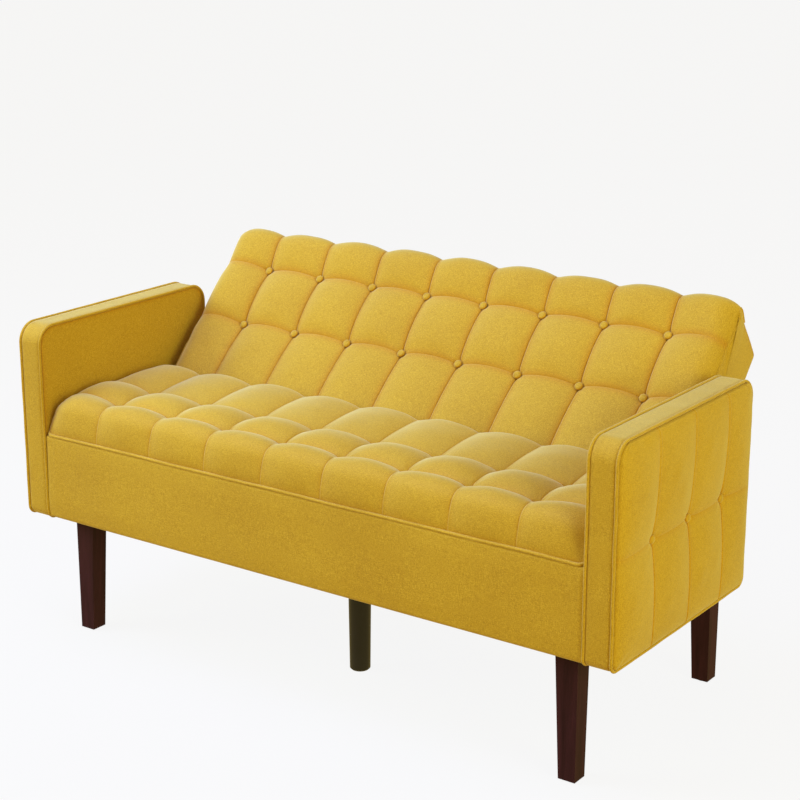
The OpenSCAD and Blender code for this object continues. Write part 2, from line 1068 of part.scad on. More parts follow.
// End panels, and the strips along the top and the bottom
module back_band() {
    color(cloth)
        on_back() {
            both_sides()
                along_x(back_end - cover_t, back_end)
                    back_outline(0);
            difference() {
                along_x(-back_end + cover_t, back_end - cover_t)
                    intersection() {
                        difference() {
                            back_outline(0);
                            back_outline(cover_t);
                        }
                        translate([cushion_rear_y, -back_front - 1])
                            square([back_frame_rear - cushion_rear_y, 2 * back_h]);
                    }
                hinge_pockets();
            }
        }
}

module back_rear_panel() {
    color(cloth)
        on_back()
            difference() {
                along_x(-back_end + cover_t, back_end - cover_t)
                    intersection() {
                        back_outline(0);
                        translate([back_frame_rear, -back_front])
                            square([cover_t + 1, 2 * back_h]);
                    }
                hinge_pockets();
            }
}

// ---- drawing ----

front_rail();
rear_rail();
side_rail_left();
side_rail_right();
spring_rail();
centre_rail();
corner_blocks();
seat_springs();
spring_clips();
insulator_pad();
seat_cushion();
seat_front_cover();
seat_welt();
seat_buttons();
rear_deck();
base_rear_cover();
dust_cover();
arm_frame_left();
arm_boards_left();
arm_inner_panel_left();
arm_outer_panel_left();
arm_band_left();
arm_welts_left();
arm_buttons_left();
arm_bolts_left();
arm_frame_right();
arm_boards_right();
arm_inner_panel_right();
arm_outer_panel_right();
arm_band_right();
arm_welts_right();
arm_buttons_right();
arm_bolts_right();
leg_front_left();
leg_front_right();
leg_rear_left();
leg_rear_right();
centre_leg();
leg_plates();
leg_bolts();
leg_glides();
hinge_bracket_left();
hinge_bracket_right();
hinge_pins();
hinge_bolts();
back_top_rail();
back_bottom_rail();
back_stiles();
back_webbing();
back_cushion();
back_band();
back_rear_panel();
back_buttons();
hinge_arm_left();
hinge_arm_right();
hinge_screws();
pawl_left();
pawl_right();
pawl_pins();
pawl_springs();
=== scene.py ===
"""Looks for a small tufted sofa with a reclining back: its cloth covers, legs and every material.

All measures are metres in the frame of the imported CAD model. A cloth surface is a grid of points: a path
gives its side view, the other direction runs across it, and a height field gives the pillows between seams.
"""

import json
import math

import bpy
import numpy as np
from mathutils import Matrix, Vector


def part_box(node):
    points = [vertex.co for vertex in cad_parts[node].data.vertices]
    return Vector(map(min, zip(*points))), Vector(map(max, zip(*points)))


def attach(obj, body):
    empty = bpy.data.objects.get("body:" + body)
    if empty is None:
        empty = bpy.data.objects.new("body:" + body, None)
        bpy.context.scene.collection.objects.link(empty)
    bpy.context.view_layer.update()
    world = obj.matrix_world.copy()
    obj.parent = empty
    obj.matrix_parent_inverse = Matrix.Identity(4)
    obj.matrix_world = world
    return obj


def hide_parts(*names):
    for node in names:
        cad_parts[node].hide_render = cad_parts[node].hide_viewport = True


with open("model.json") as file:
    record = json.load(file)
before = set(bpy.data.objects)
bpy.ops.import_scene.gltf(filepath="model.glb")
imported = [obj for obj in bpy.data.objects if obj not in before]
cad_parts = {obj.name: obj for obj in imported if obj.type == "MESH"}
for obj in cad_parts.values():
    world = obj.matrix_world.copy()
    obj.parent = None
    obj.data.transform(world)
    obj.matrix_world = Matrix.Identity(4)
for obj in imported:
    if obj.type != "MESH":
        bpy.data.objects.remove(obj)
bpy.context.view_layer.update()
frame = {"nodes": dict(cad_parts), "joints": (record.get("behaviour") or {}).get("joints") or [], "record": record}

# ---- measures taken from the frame ----

MM = 0.001
SIDES = {"left": -1, "right": 1}


def corners_of(node):
    """Lowest and highest corner of a CAD node, as arrays."""
    low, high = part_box(node)
    return np.array(low), np.array(high)


BAND_LOW, BAND_HIGH = corners_of("arm_band_right")
_, PANEL_HIGH = corners_of("arm_outer_panel_right")
INNER_LOW, _ = corners_of("arm_inner_panel_right")
SEAT_LOW, SEAT_HIGH = corners_of("seat_cushion")
FRONT_LOW, FRONT_HIGH = corners_of("seat_front_cover")
WELT_LOW, WELT_HIGH = corners_of("seat_welt")
DECK_LOW, DECK_HIGH = corners_of("rear_deck")
APRON_LOW, APRON_HIGH = corners_of("base_rear_cover")
DUST_LOW, DUST_HIGH = corners_of("dust_cover")

FRONT_Y = BAND_LOW[1]                       # front face of the arms
ARM_R_TOP = 38 * MM                         # corner radii of the arms
ARM_R_BOTTOM = 18 * MM
ARM_MEET = 4 * MM                           # what the seat's covers reach past the CAD's, to touch the arms
WELT_R = (WELT_HIGH[2] - WELT_LOW[2]) / 2   # radius of a welt cord
BUTTON_R = 8.5 * MM
BUTTON_H = 6.2 * MM

BACK_ANGLE = math.radians(41.5)             # recline of the back at rest
BACK_FRONT = 46 * MM                        # hinge pin to the back cushion's front face
BACK_REAR = 92 * MM                         # hinge pin to the back's rear face
BACK_R = 24 * MM                            # radius of the back's top front edge
BACK_H = 337 * MM                           # hinge pin to the centre of that radius
BACK_SLOPE = math.radians(20)               # fall of the back's top face towards the rear
BACK_TAIL = 20 * MM                         # foot of the rear face below the hinge pin
CUSHION_REAR = 14 * MM                      # rear plane of the back cushion
BACK_END = 609 * MM                         # half the back's width
POCKET_X = 585 * MM                         # inner side of the pockets that the hinges work in
POCKET_TOP = 66 * MM

hinge = next(j for j in frame["joints"] if j["name"] == "back_recline")
PIVOT = np.array(hinge["pos_m"])


# ---- placing ----

class Place:
    """A frame for building in: points a, b, c go to origin + a * x_axis + b * y_axis + c * z_axis."""

    def __init__(self, origin=(0, 0, 0), x=(1, 0, 0), y=(0, 1, 0), z=(0, 0, 1)):
        self.origin = np.array(origin, float)
        self.axes = np.array([x, y, z], float)

    def __call__(self, points):
        return self.origin + np.asarray(points) @ self.axes


FLOOR_FRAME = Place((0, FRONT_Y, 0))
BACK_FRAME = Place(
    (0, PIVOT[1], PIVOT[2]),
    (1, 0, 0),
    (0, math.cos(BACK_ANGLE), -math.sin(BACK_ANGLE)),
    (0, math.sin(BACK_ANGLE), math.cos(BACK_ANGLE)),
)


def back_top(y):
    """Height of the back's top face at y behind the hinge pin, in the back's own frame."""
    touch_y = -BACK_FRONT + BACK_R + BACK_R * math.sin(BACK_SLOPE)
    touch_z = BACK_H + BACK_R * math.cos(BACK_SLOPE)
    return touch_z - (y - touch_y) * math.tan(BACK_SLOPE)


# ---- paths ----

ARC_STEPS = 24


def unit(v):
    return v / np.linalg.norm(v)


def distances(points):
    """Distance of each point from the first, measured along the line through them."""
    return np.concatenate([[0], np.cumsum(np.linalg.norm(np.diff(points, axis=0), axis=1))])


def sampled(s, run, values):
    """Rows of values that are known at distances run, read at distances s."""
    return np.stack([np.interp(s, run, column) for column in values.T], axis=-1)


def rounded(corners, radii, closed=False):
    """Points along straight lines through corners, each corner rounded to its radius."""
    corners = [np.array(c, float) for c in corners]
    points = []
    for i, corner in enumerate(corners):
        if not closed and i in (0, len(corners) - 1):
            points.append(corner)
            continue
        before = unit(corner - corners[i - 1])
        after = unit(corners[(i + 1) % len(corners)] - corner)
        turn = math.atan2(before[0] * after[1] - before[1] * after[0], before @ after)
        reach = radii[i] * math.tan(abs(turn) / 2)
        left = np.array([-before[1], before[0]]) * math.copysign(1, turn)
        centre = corner - before * reach + left * radii[i]
        for k in range(ARC_STEPS + 1):
            a = turn * k / ARC_STEPS
            arm = -left * radii[i]
            points.append(centre + (arm[0] * math.cos(a) - arm[1] * math.sin(a),
                                    arm[0] * math.sin(a) + arm[1] * math.cos(a)))
    if closed:
        points.append(points[0])
    return np.array(points)


class Path:
    """A line in a plane, measured along its length, with normals to its left."""

    STEP = 1 * MM

    def __init__(self, corners, radii, closed=False):
        raw = rounded(corners, radii, closed)
        run = distances(raw)
        self.length = run[-1]
        self.s = np.linspace(0, self.length, max(8, round(self.length / self.STEP)))
        self.points = sampled(self.s, run, raw)
        if closed:
            along = np.roll(self.points[:-1], -1, axis=0) - np.roll(self.points[:-1], 1, axis=0)
            along = np.concatenate([along, along[:1]])
        else:
            along = np.gradient(self.points, axis=0)
        self.normals = np.stack([-along[:, 1], along[:, 0]], axis=1)
        self.normals /= np.linalg.norm(self.normals, axis=1)[:, None]

    def at(self, s):
        """Points and normals at distances s along the path."""
        return sampled(s, self.s, self.points), sampled(s, self.s, self.normals)

    def find(self, axis, value):
        """Distance along the path at which a coordinate first reaches value."""
        return self.s[np.argmax(self.points[:, axis] >= value)]


# ---- grids and height fields ----

def seam_steps(breaks, cell, crowd=0.6):
    """Grid positions counted in seams, so that seams lie at whole numbers, crowded beside each seam."""
    steps = [np.zeros(1)]
    for i, (a, b) in enumerate(zip(breaks, breaks[1:])):
        count = max(2, round((b - a) / cell))
        t = np.arange(1, count + 1) / count
        steps.append(i + t - crowd * np.sin(2 * math.pi * t) / (2 * math.pi))
    return np.concatenate(steps)


def on_seam(steps):
    """Indices of the grid lines that lie on seams, the two ends among them."""
    return [i for i, u in enumerate(steps) if abs(u - round(u)) < 1e-6]


def hump(t, power=2.1):
    """0 at the ends of a stretch and 1 along its middle."""
    return 1 - np.abs(2 * t - 1) ** power


def pillow_field(u, v, knots, row_rise, col_rise, crown):
    """Height of a tufted surface over a grid.

    knots is the depth where seams cross, row_rise and col_rise how far each stretch of seam rises between
    its two knots, and crown the swell of each pillow over the patch that its four seams span.
    """
    i = np.minimum(u.astype(int), knots.shape[1] - 2)
    j = np.minimum(v.astype(int), knots.shape[0] - 2)
    a = (u - i)[None, :]
    b = (v - j)[:, None]
    rows = knots[:, i] * (1 - a) + knots[:, i + 1] * a - row_rise[:, i] * hump(a)
    cols = knots[j] * (1 - b) + knots[j + 1] * b - col_rise[j] * hump(b)
    depth = (1 - b) * rows[j] + b * rows[j + 1] + (1 - a) * cols[:, i] + a * cols[:, i + 1]
    depth -= (1 - b) * ((1 - a) * knots[j][:, i] + a * knots[j][:, i + 1])
    depth -= b * ((1 - a) * knots[j + 1][:, i] + a * knots[j + 1][:, i + 1])
    swell = hump(a) * hump(b)
    return crown[j][:, i] * swell - depth


def refine(grid, steps, axis):
    """Twice as many rows along an axis, on a cubic through their neighbours that breaks at each seam."""
    grid = np.moveaxis(grid, axis, 0)
    breaks = on_seam(steps)
    parts, finer = [grid[:1]], [steps[:1]]
    for a, b in zip(breaks, breaks[1:]):
        part, t = grid[a:b + 1], steps[a:b + 1]
        wide = np.concatenate([2 * part[:1] - part[1:2], part, 2 * part[-1:] - part[-2:-1]])
        middle = (9 * (wide[1:-2] + wide[2:-1]) - wide[:-3] - wide[3:]) / 16
        both = np.stack([middle, part[1:]], axis=1).reshape((-1,) + part.shape[1:])
        parts.append(both)
        finer.append(np.stack([(t[:-1] + t[1:]) / 2, t[1:]], axis=1).ravel())
    return np.moveaxis(np.concatenate(parts), 0, axis), np.concatenate(finer)


def waves(x, y, seed, size, count=7):
    """A smooth irregular field of about -1 to 1, made of a few long waves."""
    rng = np.random.default_rng(seed)
    total = 0
    for _ in range(count):
        angle, phase = rng.uniform(0, 2 * math.pi, 2)
        k = 2 * math.pi / (size * rng.uniform(0.6, 1.7))
        total = total + np.sin(k * (x * math.cos(angle) + y * math.sin(angle)) + phase)
    return total / math.sqrt(count)


# ---- meshes ----

def quads_of(cols, kept, closed):
    """Corner indices of a grid's kept cells, counter-clockwise seen from outside."""
    r, c = np.nonzero(kept)
    right = (c + 1) % cols if closed else c + 1
    return np.stack([r * cols + c, r * cols + right, (r + 1) * cols + right, (r + 1) * cols + c], axis=1)


def rim_of(quads):
    """Directed edges that only one of the quads has."""
    edges = np.concatenate([quads[:, [k, (k + 1) % 4]] for k in range(4)])
    seen = {(a, b) for a, b in edges.tolist()}
    return np.array([(a, b) for a, b in edges.tolist() if (b, a) not in seen]).reshape(-1, 2)


def add_object(name, data):
    """A new object in the scene."""
    made = bpy.data.objects.new(name, data)
    bpy.context.scene.collection.objects.link(made)
    return made


def build(name, points, faces, values=None):
    """A smooth mesh object from points and faces, without the points that no face uses."""
    used = np.unique(np.concatenate([np.ravel(f) for f in faces]))
    place = np.full(len(points), -1)
    place[used] = np.arange(len(used))
    mesh = bpy.data.meshes.new(name)
    mesh.from_pydata(points[used].tolist(), [], [place[row].tolist() for f in faces for row in f])
    mesh.shade_smooth()
    mesh.set_sharp_from_angle(angle=math.radians(62))
    # the seam attribute carries painted shade for the cloth material: seam grooves, folds, tucks and button feet
    if values is not None:
        seam = mesh.attributes.new("seam", "FLOAT", "POINT")
        seam.data.foreach_set("value", values[used].astype(np.float32))
    return add_object(name, mesh)


def shell(name, outer, inner, kept=None, closed=False, seam=None):
    """A closed skin between two grids of points, walled round its edge and round any part left out."""
    rows, cols = outer.shape[:2]
    cells = np.ones((rows - 1, cols if closed else cols - 1), bool)
    if kept is not None:
        cells &= kept
    quads = quads_of(cols, cells, closed)
    half = rows * cols
    rim = rim_of(quads)
    walls = np.stack([rim[:, 1], rim[:, 0], rim[:, 0] + half, rim[:, 1] + half], axis=1)
    points = np.concatenate([outer.reshape(-1, 3), inner.reshape(-1, 3)])
    values = np.zeros(2 * half)
    if seam is not None:
        values[:half] = seam.ravel()
    return build(name, points, [quads, quads[:, ::-1] + half, walls], values)


def two_skins(line, normals, height, depth, other, last=False):
    """Outer and inner points of a cover that lies off a plane line, at a height and at a level depth.

    other is the third coordinate. It comes first, or last if so told.
    """
    skins = []
    for offset in (height, np.full_like(height, depth)):
        flat = line + normals * offset[..., None]
        third = np.broadcast_to(other[..., None], offset.shape + (1,))
        skins.append(np.concatenate([flat, third] if last else [third, flat], axis=2))
    return skins


def cap(name, loop, centre, crown, thickness, outward, rings=14, dent=None):
    """A panel stretched over a closed loop, swelling towards its middle, with a plain inner side."""
    loop = np.asarray(loop, float)
    t = (np.linspace(0, 1, rings + 1)[:-1, None, None]) ** 1.6
    grow = 1 - (1 - t) ** 2.2
    lean = ((loop - centre) @ outward)[:, None] * outward
    flat = (loop - lean)[None] * (1 - t) + np.asarray(centre, float) * t + lean[None] * (1 - t) ** 6
    swell = crown * grow[..., 0]
    if dent is not None:
        swell = swell + dent(flat) * np.minimum(1, 4 * t[..., 0])
    outer = flat + swell[..., None] * outward
    count = len(loop)
    half = rings * count
    quads = quads_of(count, np.ones((rings - 1, count), bool), True)
    inner = flat - thickness * outward
    tips = np.array([centre + crown * outward, centre - thickness * outward])
    points = np.concatenate([outer.reshape(-1, 3), inner.reshape(-1, 3), tips])
    last = np.arange(count) + (rings - 1) * count
    after = np.roll(last, -1)
    top, bottom = 2 * half, 2 * half + 1
    fan = np.stack([last, after, np.full(count, top)], axis=1)
    fan_in = np.stack([after + half, last + half, np.full(count, bottom)], axis=1)
    first = np.arange(count)
    second = np.roll(first, -1)
    walls = np.stack([second, first, first + half, second + half], axis=1)
    values = np.zeros(len(points))
    # painted shade: a darker rim round the panel, where it meets its welt or seam
    values[:half] = np.repeat(0.5 * np.exp(-t[:, 0, 0] / 0.012), count)
    return build(name, points, [quads, quads[:, ::-1] + half, fan, fan_in, walls], values)


def sweep(line, radius, sides=12, closed=False):
    """Points, faces and seam values of a round tube along a line."""
    line = np.asarray(line, float)
    if closed:
        along = np.roll(line, -1, axis=0) - np.roll(line, 1, axis=0)
    else:
        along = np.gradient(line, axis=0)
    along /= np.linalg.norm(along, axis=1)[:, None]
    side = np.array([1.0, 0, 0]) if abs(along[0][0]) < 0.9 else np.array([0, 0, 1.0])
    rings = []
    for p, d in zip(line, along):
        side = unit(side - d * (side @ d))
        up = np.cross(d, side)
        a = np.linspace(0, 2 * math.pi, sides, endpoint=False)[:, None]
        rings.append(p + radius * (np.cos(a) * side + np.sin(a) * up))
    count = len(line)
    points = np.concatenate(rings)
    k, m = np.meshgrid(np.arange(count if closed else count - 1), np.arange(sides), indexing="ij")
    k, m = k.ravel(), m.ravel()
    k2, m2 = (k + 1) % count, (m + 1) % sides
    faces = [np.stack([k * sides + m, k * sides + m2, k2 * sides + m2, k2 * sides + m], axis=1)]
    if not closed:
        faces.append(np.arange(sides)[::-1][None])
        faces.append((np.arange(sides) + (count - 1) * sides)[None])
    return points, faces, np.zeros(len(points))


def joined(name, parts):
    """One object from several lots of points, faces and seam values."""
    faces, start = [], 0
    for points, part_faces, _ in parts:
        faces += [f + start for f in part_faces]
        start += len(points)
    return build(name, np.concatenate([p[0] for p in parts]), faces, np.concatenate([p[2] for p in parts]))


# ---- cloth ----

SIM_FRAMES = 20


def settle(points, held, flat, pressure, cap_by):
    """Lets a grid of cloth, cut flat, settle over its foam: seams are held and pillows are pushed out."""
    rows, cols = points.shape[:2]
    quads = quads_of(cols, np.ones((rows - 1, cols - 1), bool), False)
    mesh = bpy.data.meshes.new("settling")
    mesh.from_pydata(points.reshape(-1, 3).tolist(), [], quads.tolist())
    sheet = add_object("settling", mesh)
    group = sheet.vertex_groups.new(name="held")
    group.add(np.nonzero(held.ravel())[0].tolist(), 1.0, "REPLACE")
    sheet.shape_key_add(name="Basis")
    cut = sheet.shape_key_add(name="cut")
    cut.data.foreach_set("co", flat.ravel())
    cloth = sheet.modifiers.new("cloth", "CLOTH")
    settings = cloth.settings
    settings.quality = 6
    settings.mass = 0.15
    settings.tension_stiffness = 12
    settings.compression_stiffness = 12
    settings.shear_stiffness = 4
    settings.bending_stiffness = 0.4
    settings.air_damping = 3
    settings.vertex_group_mass = "held"
    settings.rest_shape_key = cut
    settings.use_pressure = True
    settings.uniform_pressure_force = pressure
    settings.effector_weights.gravity = 0
    cloth.collision_settings.use_collision = False
    cloth.point_cache.frame_end = SIM_FRAMES
    scene = bpy.context.scene
    for number in range(1, SIM_FRAMES + 1):
        scene.frame_set(number)
    done = sheet.evaluated_get(bpy.context.evaluated_depsgraph_get())
    settled = np.zeros(rows * cols * 3, np.float32)
    done.data.vertices.foreach_get("co", settled)
    move = settled.reshape(points.shape) - points
    size = np.linalg.norm(move, axis=2, keepdims=True)
    move *= np.minimum(1, cap_by / np.maximum(size, 1e-9))
    scene.frame_set(1)
    bpy.data.objects.remove(sheet)
    bpy.data.meshes.remove(mesh)
    return points + move


def nearest(positions, seams):
    """Which seam is nearest to each position."""
    return np.argmin(np.abs(positions[:, None] - seams[None, :]), axis=1)


def gaps(positions, seams):
    """Signed distance from its nearest seam to each position."""
    return positions - seams[nearest(positions, seams)]


def grid_normals(points):
    """Unit normals of a grid of points."""
    n = np.cross(np.gradient(points, axis=1), np.gradient(points, axis=0))
    return n / np.maximum(np.linalg.norm(n, axis=2, keepdims=True), 1e-12)


class Tufted:
    """A tufted cover: pillows between seams that run along a path (columns) and across it (rows)."""

    CELL = 7.2 * MM         # grid step before it is refined
    GROOVE = 1.3 * MM       # half width of the groove that a thread pulls
    FOLD_SHADE_REACH = 9 * MM           # reach of the painted shade beside a seam
    BOW_REACH = 24 * MM     # how far from a row seam its bow is felt
    LAP = 0.75 * MM         # height of the seam allowance felt beside a column seam
    THREAD_PULL = 1.7 * MM
    PIT = 4.0 * MM          # depth of the pit under a button
    CREASE = 0.7 * MM       # height of the creases that fan out from a button

    def __init__(self, path, place, columns, rows, plan, seed, reshape=None, bow=0.0):
        self.path, self.place, self.reshape, self.bow = path, place, reshape, bow
        self.columns, self.rows = np.array(columns), np.array(rows)
        self.u, self.v = seam_steps(columns, self.CELL), seam_steps(rows, self.CELL)
        knots, row_rise, col_rise, crown = plan
        rng = np.random.default_rng(seed)
        crown = crown * rng.uniform(0.88, 1.12, crown.shape)
        self.height = pillow_field(self.u, self.v, knots, row_rise, col_rise, crown)
        x, s = self.across(), self.along()
        self.height += 0.5 * MM * waves(x[None, :], s[:, None], seed, 0.05) * self.openness()

    def across(self):
        return np.interp(self.u, np.arange(len(self.columns)), self.columns)

    def along(self):
        return np.interp(self.v, np.arange(len(self.rows)), self.rows)

    def openness(self):
        """0 on the seams and 1 in the middle of each pillow."""
        a, b = self.u % 1, self.v % 1
        return np.sqrt(16 * (a * (1 - a))[None, :] * (b * (1 - b))[:, None])

    def surface(self, height):
        """The grid of points at a height over the path, each row seam bowed along it between buttons."""
        x, s = np.meshgrid(self.across(), self.along())
        near = np.exp(-(gaps(self.along(), self.rows[1:-1]) / self.BOW_REACH) ** 2)
        s = s + self.bow * hump(self.u % 1)[None, :] * near[:, None]
        points, normals = self.path.at(s)
        if self.reshape:
            x, height = self.reshape(x, s, height)
        side = points + normals * height[..., None]
        return self.place(np.concatenate([x[..., None], side], axis=2))

    def settled(self, pressure, cap_by, slack=0.02):
        """The cover after its cloth has settled, on a grid twice as fine."""
        points = self.surface(self.height)
        held = np.zeros(points.shape[:2], bool)
        held[on_seam(self.v)] = True
        held[:, on_seam(self.u)] = True
        x, s = np.meshgrid(self.across(), self.along())
        flat = np.stack([x, s, np.zeros_like(x)], axis=2) * (1 + slack)
        points = settle(points, held, flat, pressure, cap_by)
        points, self.v = refine(points, self.v, 0)
        points, self.u = refine(points, self.u, 1)
        return points

    def from_seams(self):
        """Signed distances from the nearest column seam, as a row, and from the nearest row seam."""
        col = gaps(self.across(), self.columns[1:-1])[None, :]
        row = gaps(self.along(), self.rows[1:-1])[:, None]
        return col, row

    def threads(self, soft=0.0, level_soft=0.0):
        """1 on each seam between pillows, falling to 0 beside it; firmest beside the buttons."""
        col, row = self.from_seams()
        firm = 0.55 + 0.45 * np.exp(-np.hypot(col, row) / (26 * MM))
        upright = np.exp(-(col / self.GROOVE) ** 2) * (1 - soft)
        level = np.exp(-(row / self.GROOVE) ** 2) * (1 - level_soft)
        return np.maximum(upright, level) * firm

    def fold_shade_mask(self):
        """1 on each seam, falling slowly to 0: painted shade where the cloth turns down into the tufts."""
        col, row = self.from_seams()
        return np.maximum(np.exp(-(col / self.FOLD_SHADE_REACH) ** 2), np.exp(-(row / self.FOLD_SHADE_REACH) ** 2))

    def sewn(self, points, threads, facing=1):
        """The finest grid as the thread leaves it: grooves, laps beside the columns, pits at the buttons."""
        col, row = self.from_seams()
        away = np.hypot(col, row)
        lap = np.exp(-((col - 3.0 * MM) / (1.7 * MM)) ** 2) * (1 - np.exp(-(row / (12 * MM)) ** 2))
        which = (nearest(self.across(), self.columns[1:-1])[None, :]
                 + 7 * nearest(self.along(), self.rows[1:-1])[:, None])
        angle = np.arctan2(row, col)
        fan = np.cos(6 * angle + 2.3 * which) + 0.6 * np.cos(11 * angle + 1.7 * which)
        crease = fan * np.exp(-away / (17 * MM)) * (1 - np.exp(-(away / (11 * MM)) ** 2))
        pit = np.exp(-(away / (9.5 * MM)) ** 2)
        rise = self.LAP * lap - self.THREAD_PULL * threads - self.PIT * pit + self.CREASE * crease
        return points + grid_normals(points) * (facing * rise)[..., None]


# ---- materials ----

SHADER_INPUTS = {
    "sheen": "Sheen Weight", "sheen_roughness": "Sheen Roughness", "specular": "Specular IOR Level",
    "metallic": "Metallic",
}


class Nodes:
    """Builds a material's nodes: each call adds one and links its inputs."""

    def __init__(self, name):
        self.material = bpy.data.materials.new(name)
        self.material.use_nodes = True
        self.tree = self.material.node_tree
        self.shader = self.tree.nodes["Principled BSDF"]

    def add(self, kind, inputs=(), **settings):
        node = self.tree.nodes.new(kind)
        for key, value in settings.items():
            setattr(node, key, value)
        for key, value in dict(inputs).items():
            self.feed(node.inputs[key], value)
        return node

    def feed(self, socket, value):
        if isinstance(value, bpy.types.NodeSocket):
            self.tree.links.new(value, socket)
        else:
            socket.default_value = value

    def math(self, operation, a, b=0.0):
        return self.add("ShaderNodeMath", {0: a, 1: b}, operation=operation).outputs[0]

    def total(self, *shares):
        """Sum of values, each given with its weight."""
        parts = [self.math("MULTIPLY", value, weight) for value, weight in shares]
        result = parts[0]
        for part in parts[1:]:
            result = self.math("ADD", result, part)
        return result

    def vector(self, operation, a, b=(0, 0, 0)):
        node = self.add("ShaderNodeVectorMath", {0: a, 1: b}, operation=operation)
        return node.outputs["Value" if operation == "DOT_PRODUCT" else "Vector"]

    def noise(self, coordinates, stretch, detail=2.0, roughness=0.5, distortion=0.0):
        scaled = self.vector("MULTIPLY", coordinates, stretch)
        node = self.add("ShaderNodeTexNoise", {
            "Vector": scaled, "Scale": 1.0, "Detail": detail, "Roughness": roughness,
            "Distortion": distortion,
        })
        return node.outputs["Fac"]

    def mix(self, factor, a, b):
        node = self.add("ShaderNodeMix", data_type="FLOAT")
        for key, value in (("Factor", factor), ("A", a), ("B", b)):
            self.feed(next(i for i in node.inputs if i.name == key and i.type == "VALUE"), value)
        return next(o for o in node.outputs if o.type == "VALUE")

    def ramp(self, factor, stops):
        node = self.add("ShaderNodeValToRGB", {"Fac": factor})
        elements = node.color_ramp.elements
        while len(elements) < len(stops):
            elements.new(0.5)
        for element, (position, colour) in zip(elements, stops):
            element.position = position
            element.color = (*colour, 1)
        return node.outputs["Color"]

    def tint(self, colour, factor, tone, way="MIX"):
        """A colour that goes over to a tone, or is multiplied by it, where factor is 1."""
        node = self.add("ShaderNodeMix", data_type="RGBA", blend_type=way)
        sockets = [i for i in node.inputs if i.type == "RGBA"]
        self.feed(node.inputs[0], factor)
        self.feed(sockets[0], colour)
        self.feed(sockets[1], (*tone, 1))
        return next(o for o in node.outputs if o.type == "RGBA")

    def finish(self, colour, roughness, bump, distance, **plain):
        self.feed(self.shader.inputs["Base Color"], colour)
        self.feed(self.shader.inputs["Roughness"], roughness)
        made = self.add("ShaderNodeBump", {"Height": bump, "Strength": 1.0, "Distance": distance})
        self.feed(self.shader.inputs["Normal"], made.outputs["Normal"])
        for key, value in plain.items():
            self.shader.inputs[SHADER_INPUTS[key]].default_value = value
        return self.material


def object_space(nodes, turn=0.0):
    """Position and squared normal of the surface in the piece's own space, turned about X."""
    coordinates = nodes.add("ShaderNodeTexCoord")
    turned = []
    for output, kind in (("Object", "POINT"), ("Normal", "NORMAL")):
        node = nodes.add("ShaderNodeMapping", {"Vector": coordinates.outputs[output]}, vector_type=kind)
        node.inputs["Rotation"].default_value = (turn, 0, 0)
        turned.append(node.outputs["Vector"])
    place, normal = turned
    return place, nodes.vector("MULTIPLY", normal, normal)


THREAD = 1.1 * MM                           # spacing of the weave's threads
YELLOW = [(0.39, (0.43, 0.21, 0.005)), (0.5, (0.56, 0.305, 0.011)), (0.61, (0.69, 0.41, 0.03))]
PAINTED_SHEEN_TONE = (0.86, 0.74, 0.40)                  # paler tone painted at a glancing view: a painted sheen
# painted shade: the seam attribute first deepens the cloth's tone beside a seam, then darkens its groove
FOLD_SEAM = 0.35                            # up to this seam value cloth deepens in tone, then it darkens
FOLD_SHADE_TONE = (0.96, 0.80, 0.40)
SEAM_SHADE_TONE = (0.55, 0.42, 0.30)


def cloth(name, turn=0.0):
    """Plain linen-look weave, slubs along both threads, a melange of tones, painted seam shade, painted sheen."""
    nodes = Nodes(name)
    place, facing = object_space(nodes, turn)
    ripple = nodes.vector("SINE", nodes.vector("MULTIPLY", place, (math.pi / THREAD,) * 3))
    parts = nodes.add("ShaderNodeSeparateXYZ", {"Vector": ripple}).outputs
    pairs = nodes.add("ShaderNodeCombineXYZ", {
        "X": nodes.math("MULTIPLY", parts[1], parts[2]),
        "Y": nodes.math("MULTIPLY", parts[2], parts[0]),
        "Z": nodes.math("MULTIPLY", parts[0], parts[1]),
    }).outputs[0]
    weave = nodes.vector("DOT_PRODUCT", pairs, facing)
    fine, long = 1000, 150
    upness = nodes.add("ShaderNodeSeparateXYZ", {"Vector": facing}).outputs
    weft = nodes.mix(upness[0], nodes.noise(place, (long, fine, fine)),
                     nodes.noise(place, (fine, long, fine)))
    warp = nodes.mix(upness[2], nodes.noise(place, (fine, fine, long)),
                     nodes.noise(place, (fine, long, fine)))
    slubs = nodes.total((weft, 0.5), (warp, 0.5))
    fleck = nodes.noise(place, (860, 860, 860), detail=2)
    patch = nodes.noise(place, (5, 5, 5), detail=3)
    colour = nodes.ramp(nodes.total((slubs, 0.45), (fleck, 0.45), (patch, 0.1), (weave, 0.02)), YELLOW)
    # painted shade from the seam attribute: a deeper tone beside each seam, a darker tone in its groove
    seam = nodes.add("ShaderNodeAttribute", attribute_name="seam").outputs["Fac"]
    fold_shade = nodes.math("MINIMUM", nodes.math("DIVIDE", seam, FOLD_SEAM), 1.0)
    beyond = nodes.math("SUBTRACT", seam, FOLD_SEAM)
    groove_shade = nodes.math("MAXIMUM", nodes.math("DIVIDE", beyond, 1 - FOLD_SEAM), 0.0)
    colour = nodes.tint(colour, fold_shade, FOLD_SHADE_TONE, "MULTIPLY")
    colour = nodes.tint(colour, groove_shade, SEAM_SHADE_TONE, "MULTIPLY")
    # painted sheen: the colour turns paler towards a glancing view
    sheen_facing = nodes.add("ShaderNodeLayerWeight", {"Blend": 0.5}).outputs["Facing"]
    colour = nodes.tint(colour, nodes.math("MULTIPLY", nodes.math("POWER", sheen_facing, 4.0), 0.75), PAINTED_SHEEN_TONE)
    bump = nodes.total((weave, 0.5), (slubs, 1.6))
    rough = nodes.mix(slubs, 0.72, 0.55)
    made = nodes.finish(colour, rough, bump, 0.35 * MM, sheen=0.12, sheen_roughness=0.5, specular=0.3)
    nodes.shader.inputs["Sheen Tint"].default_value = (0.9, 0.95, 0.7, 1)
    return made


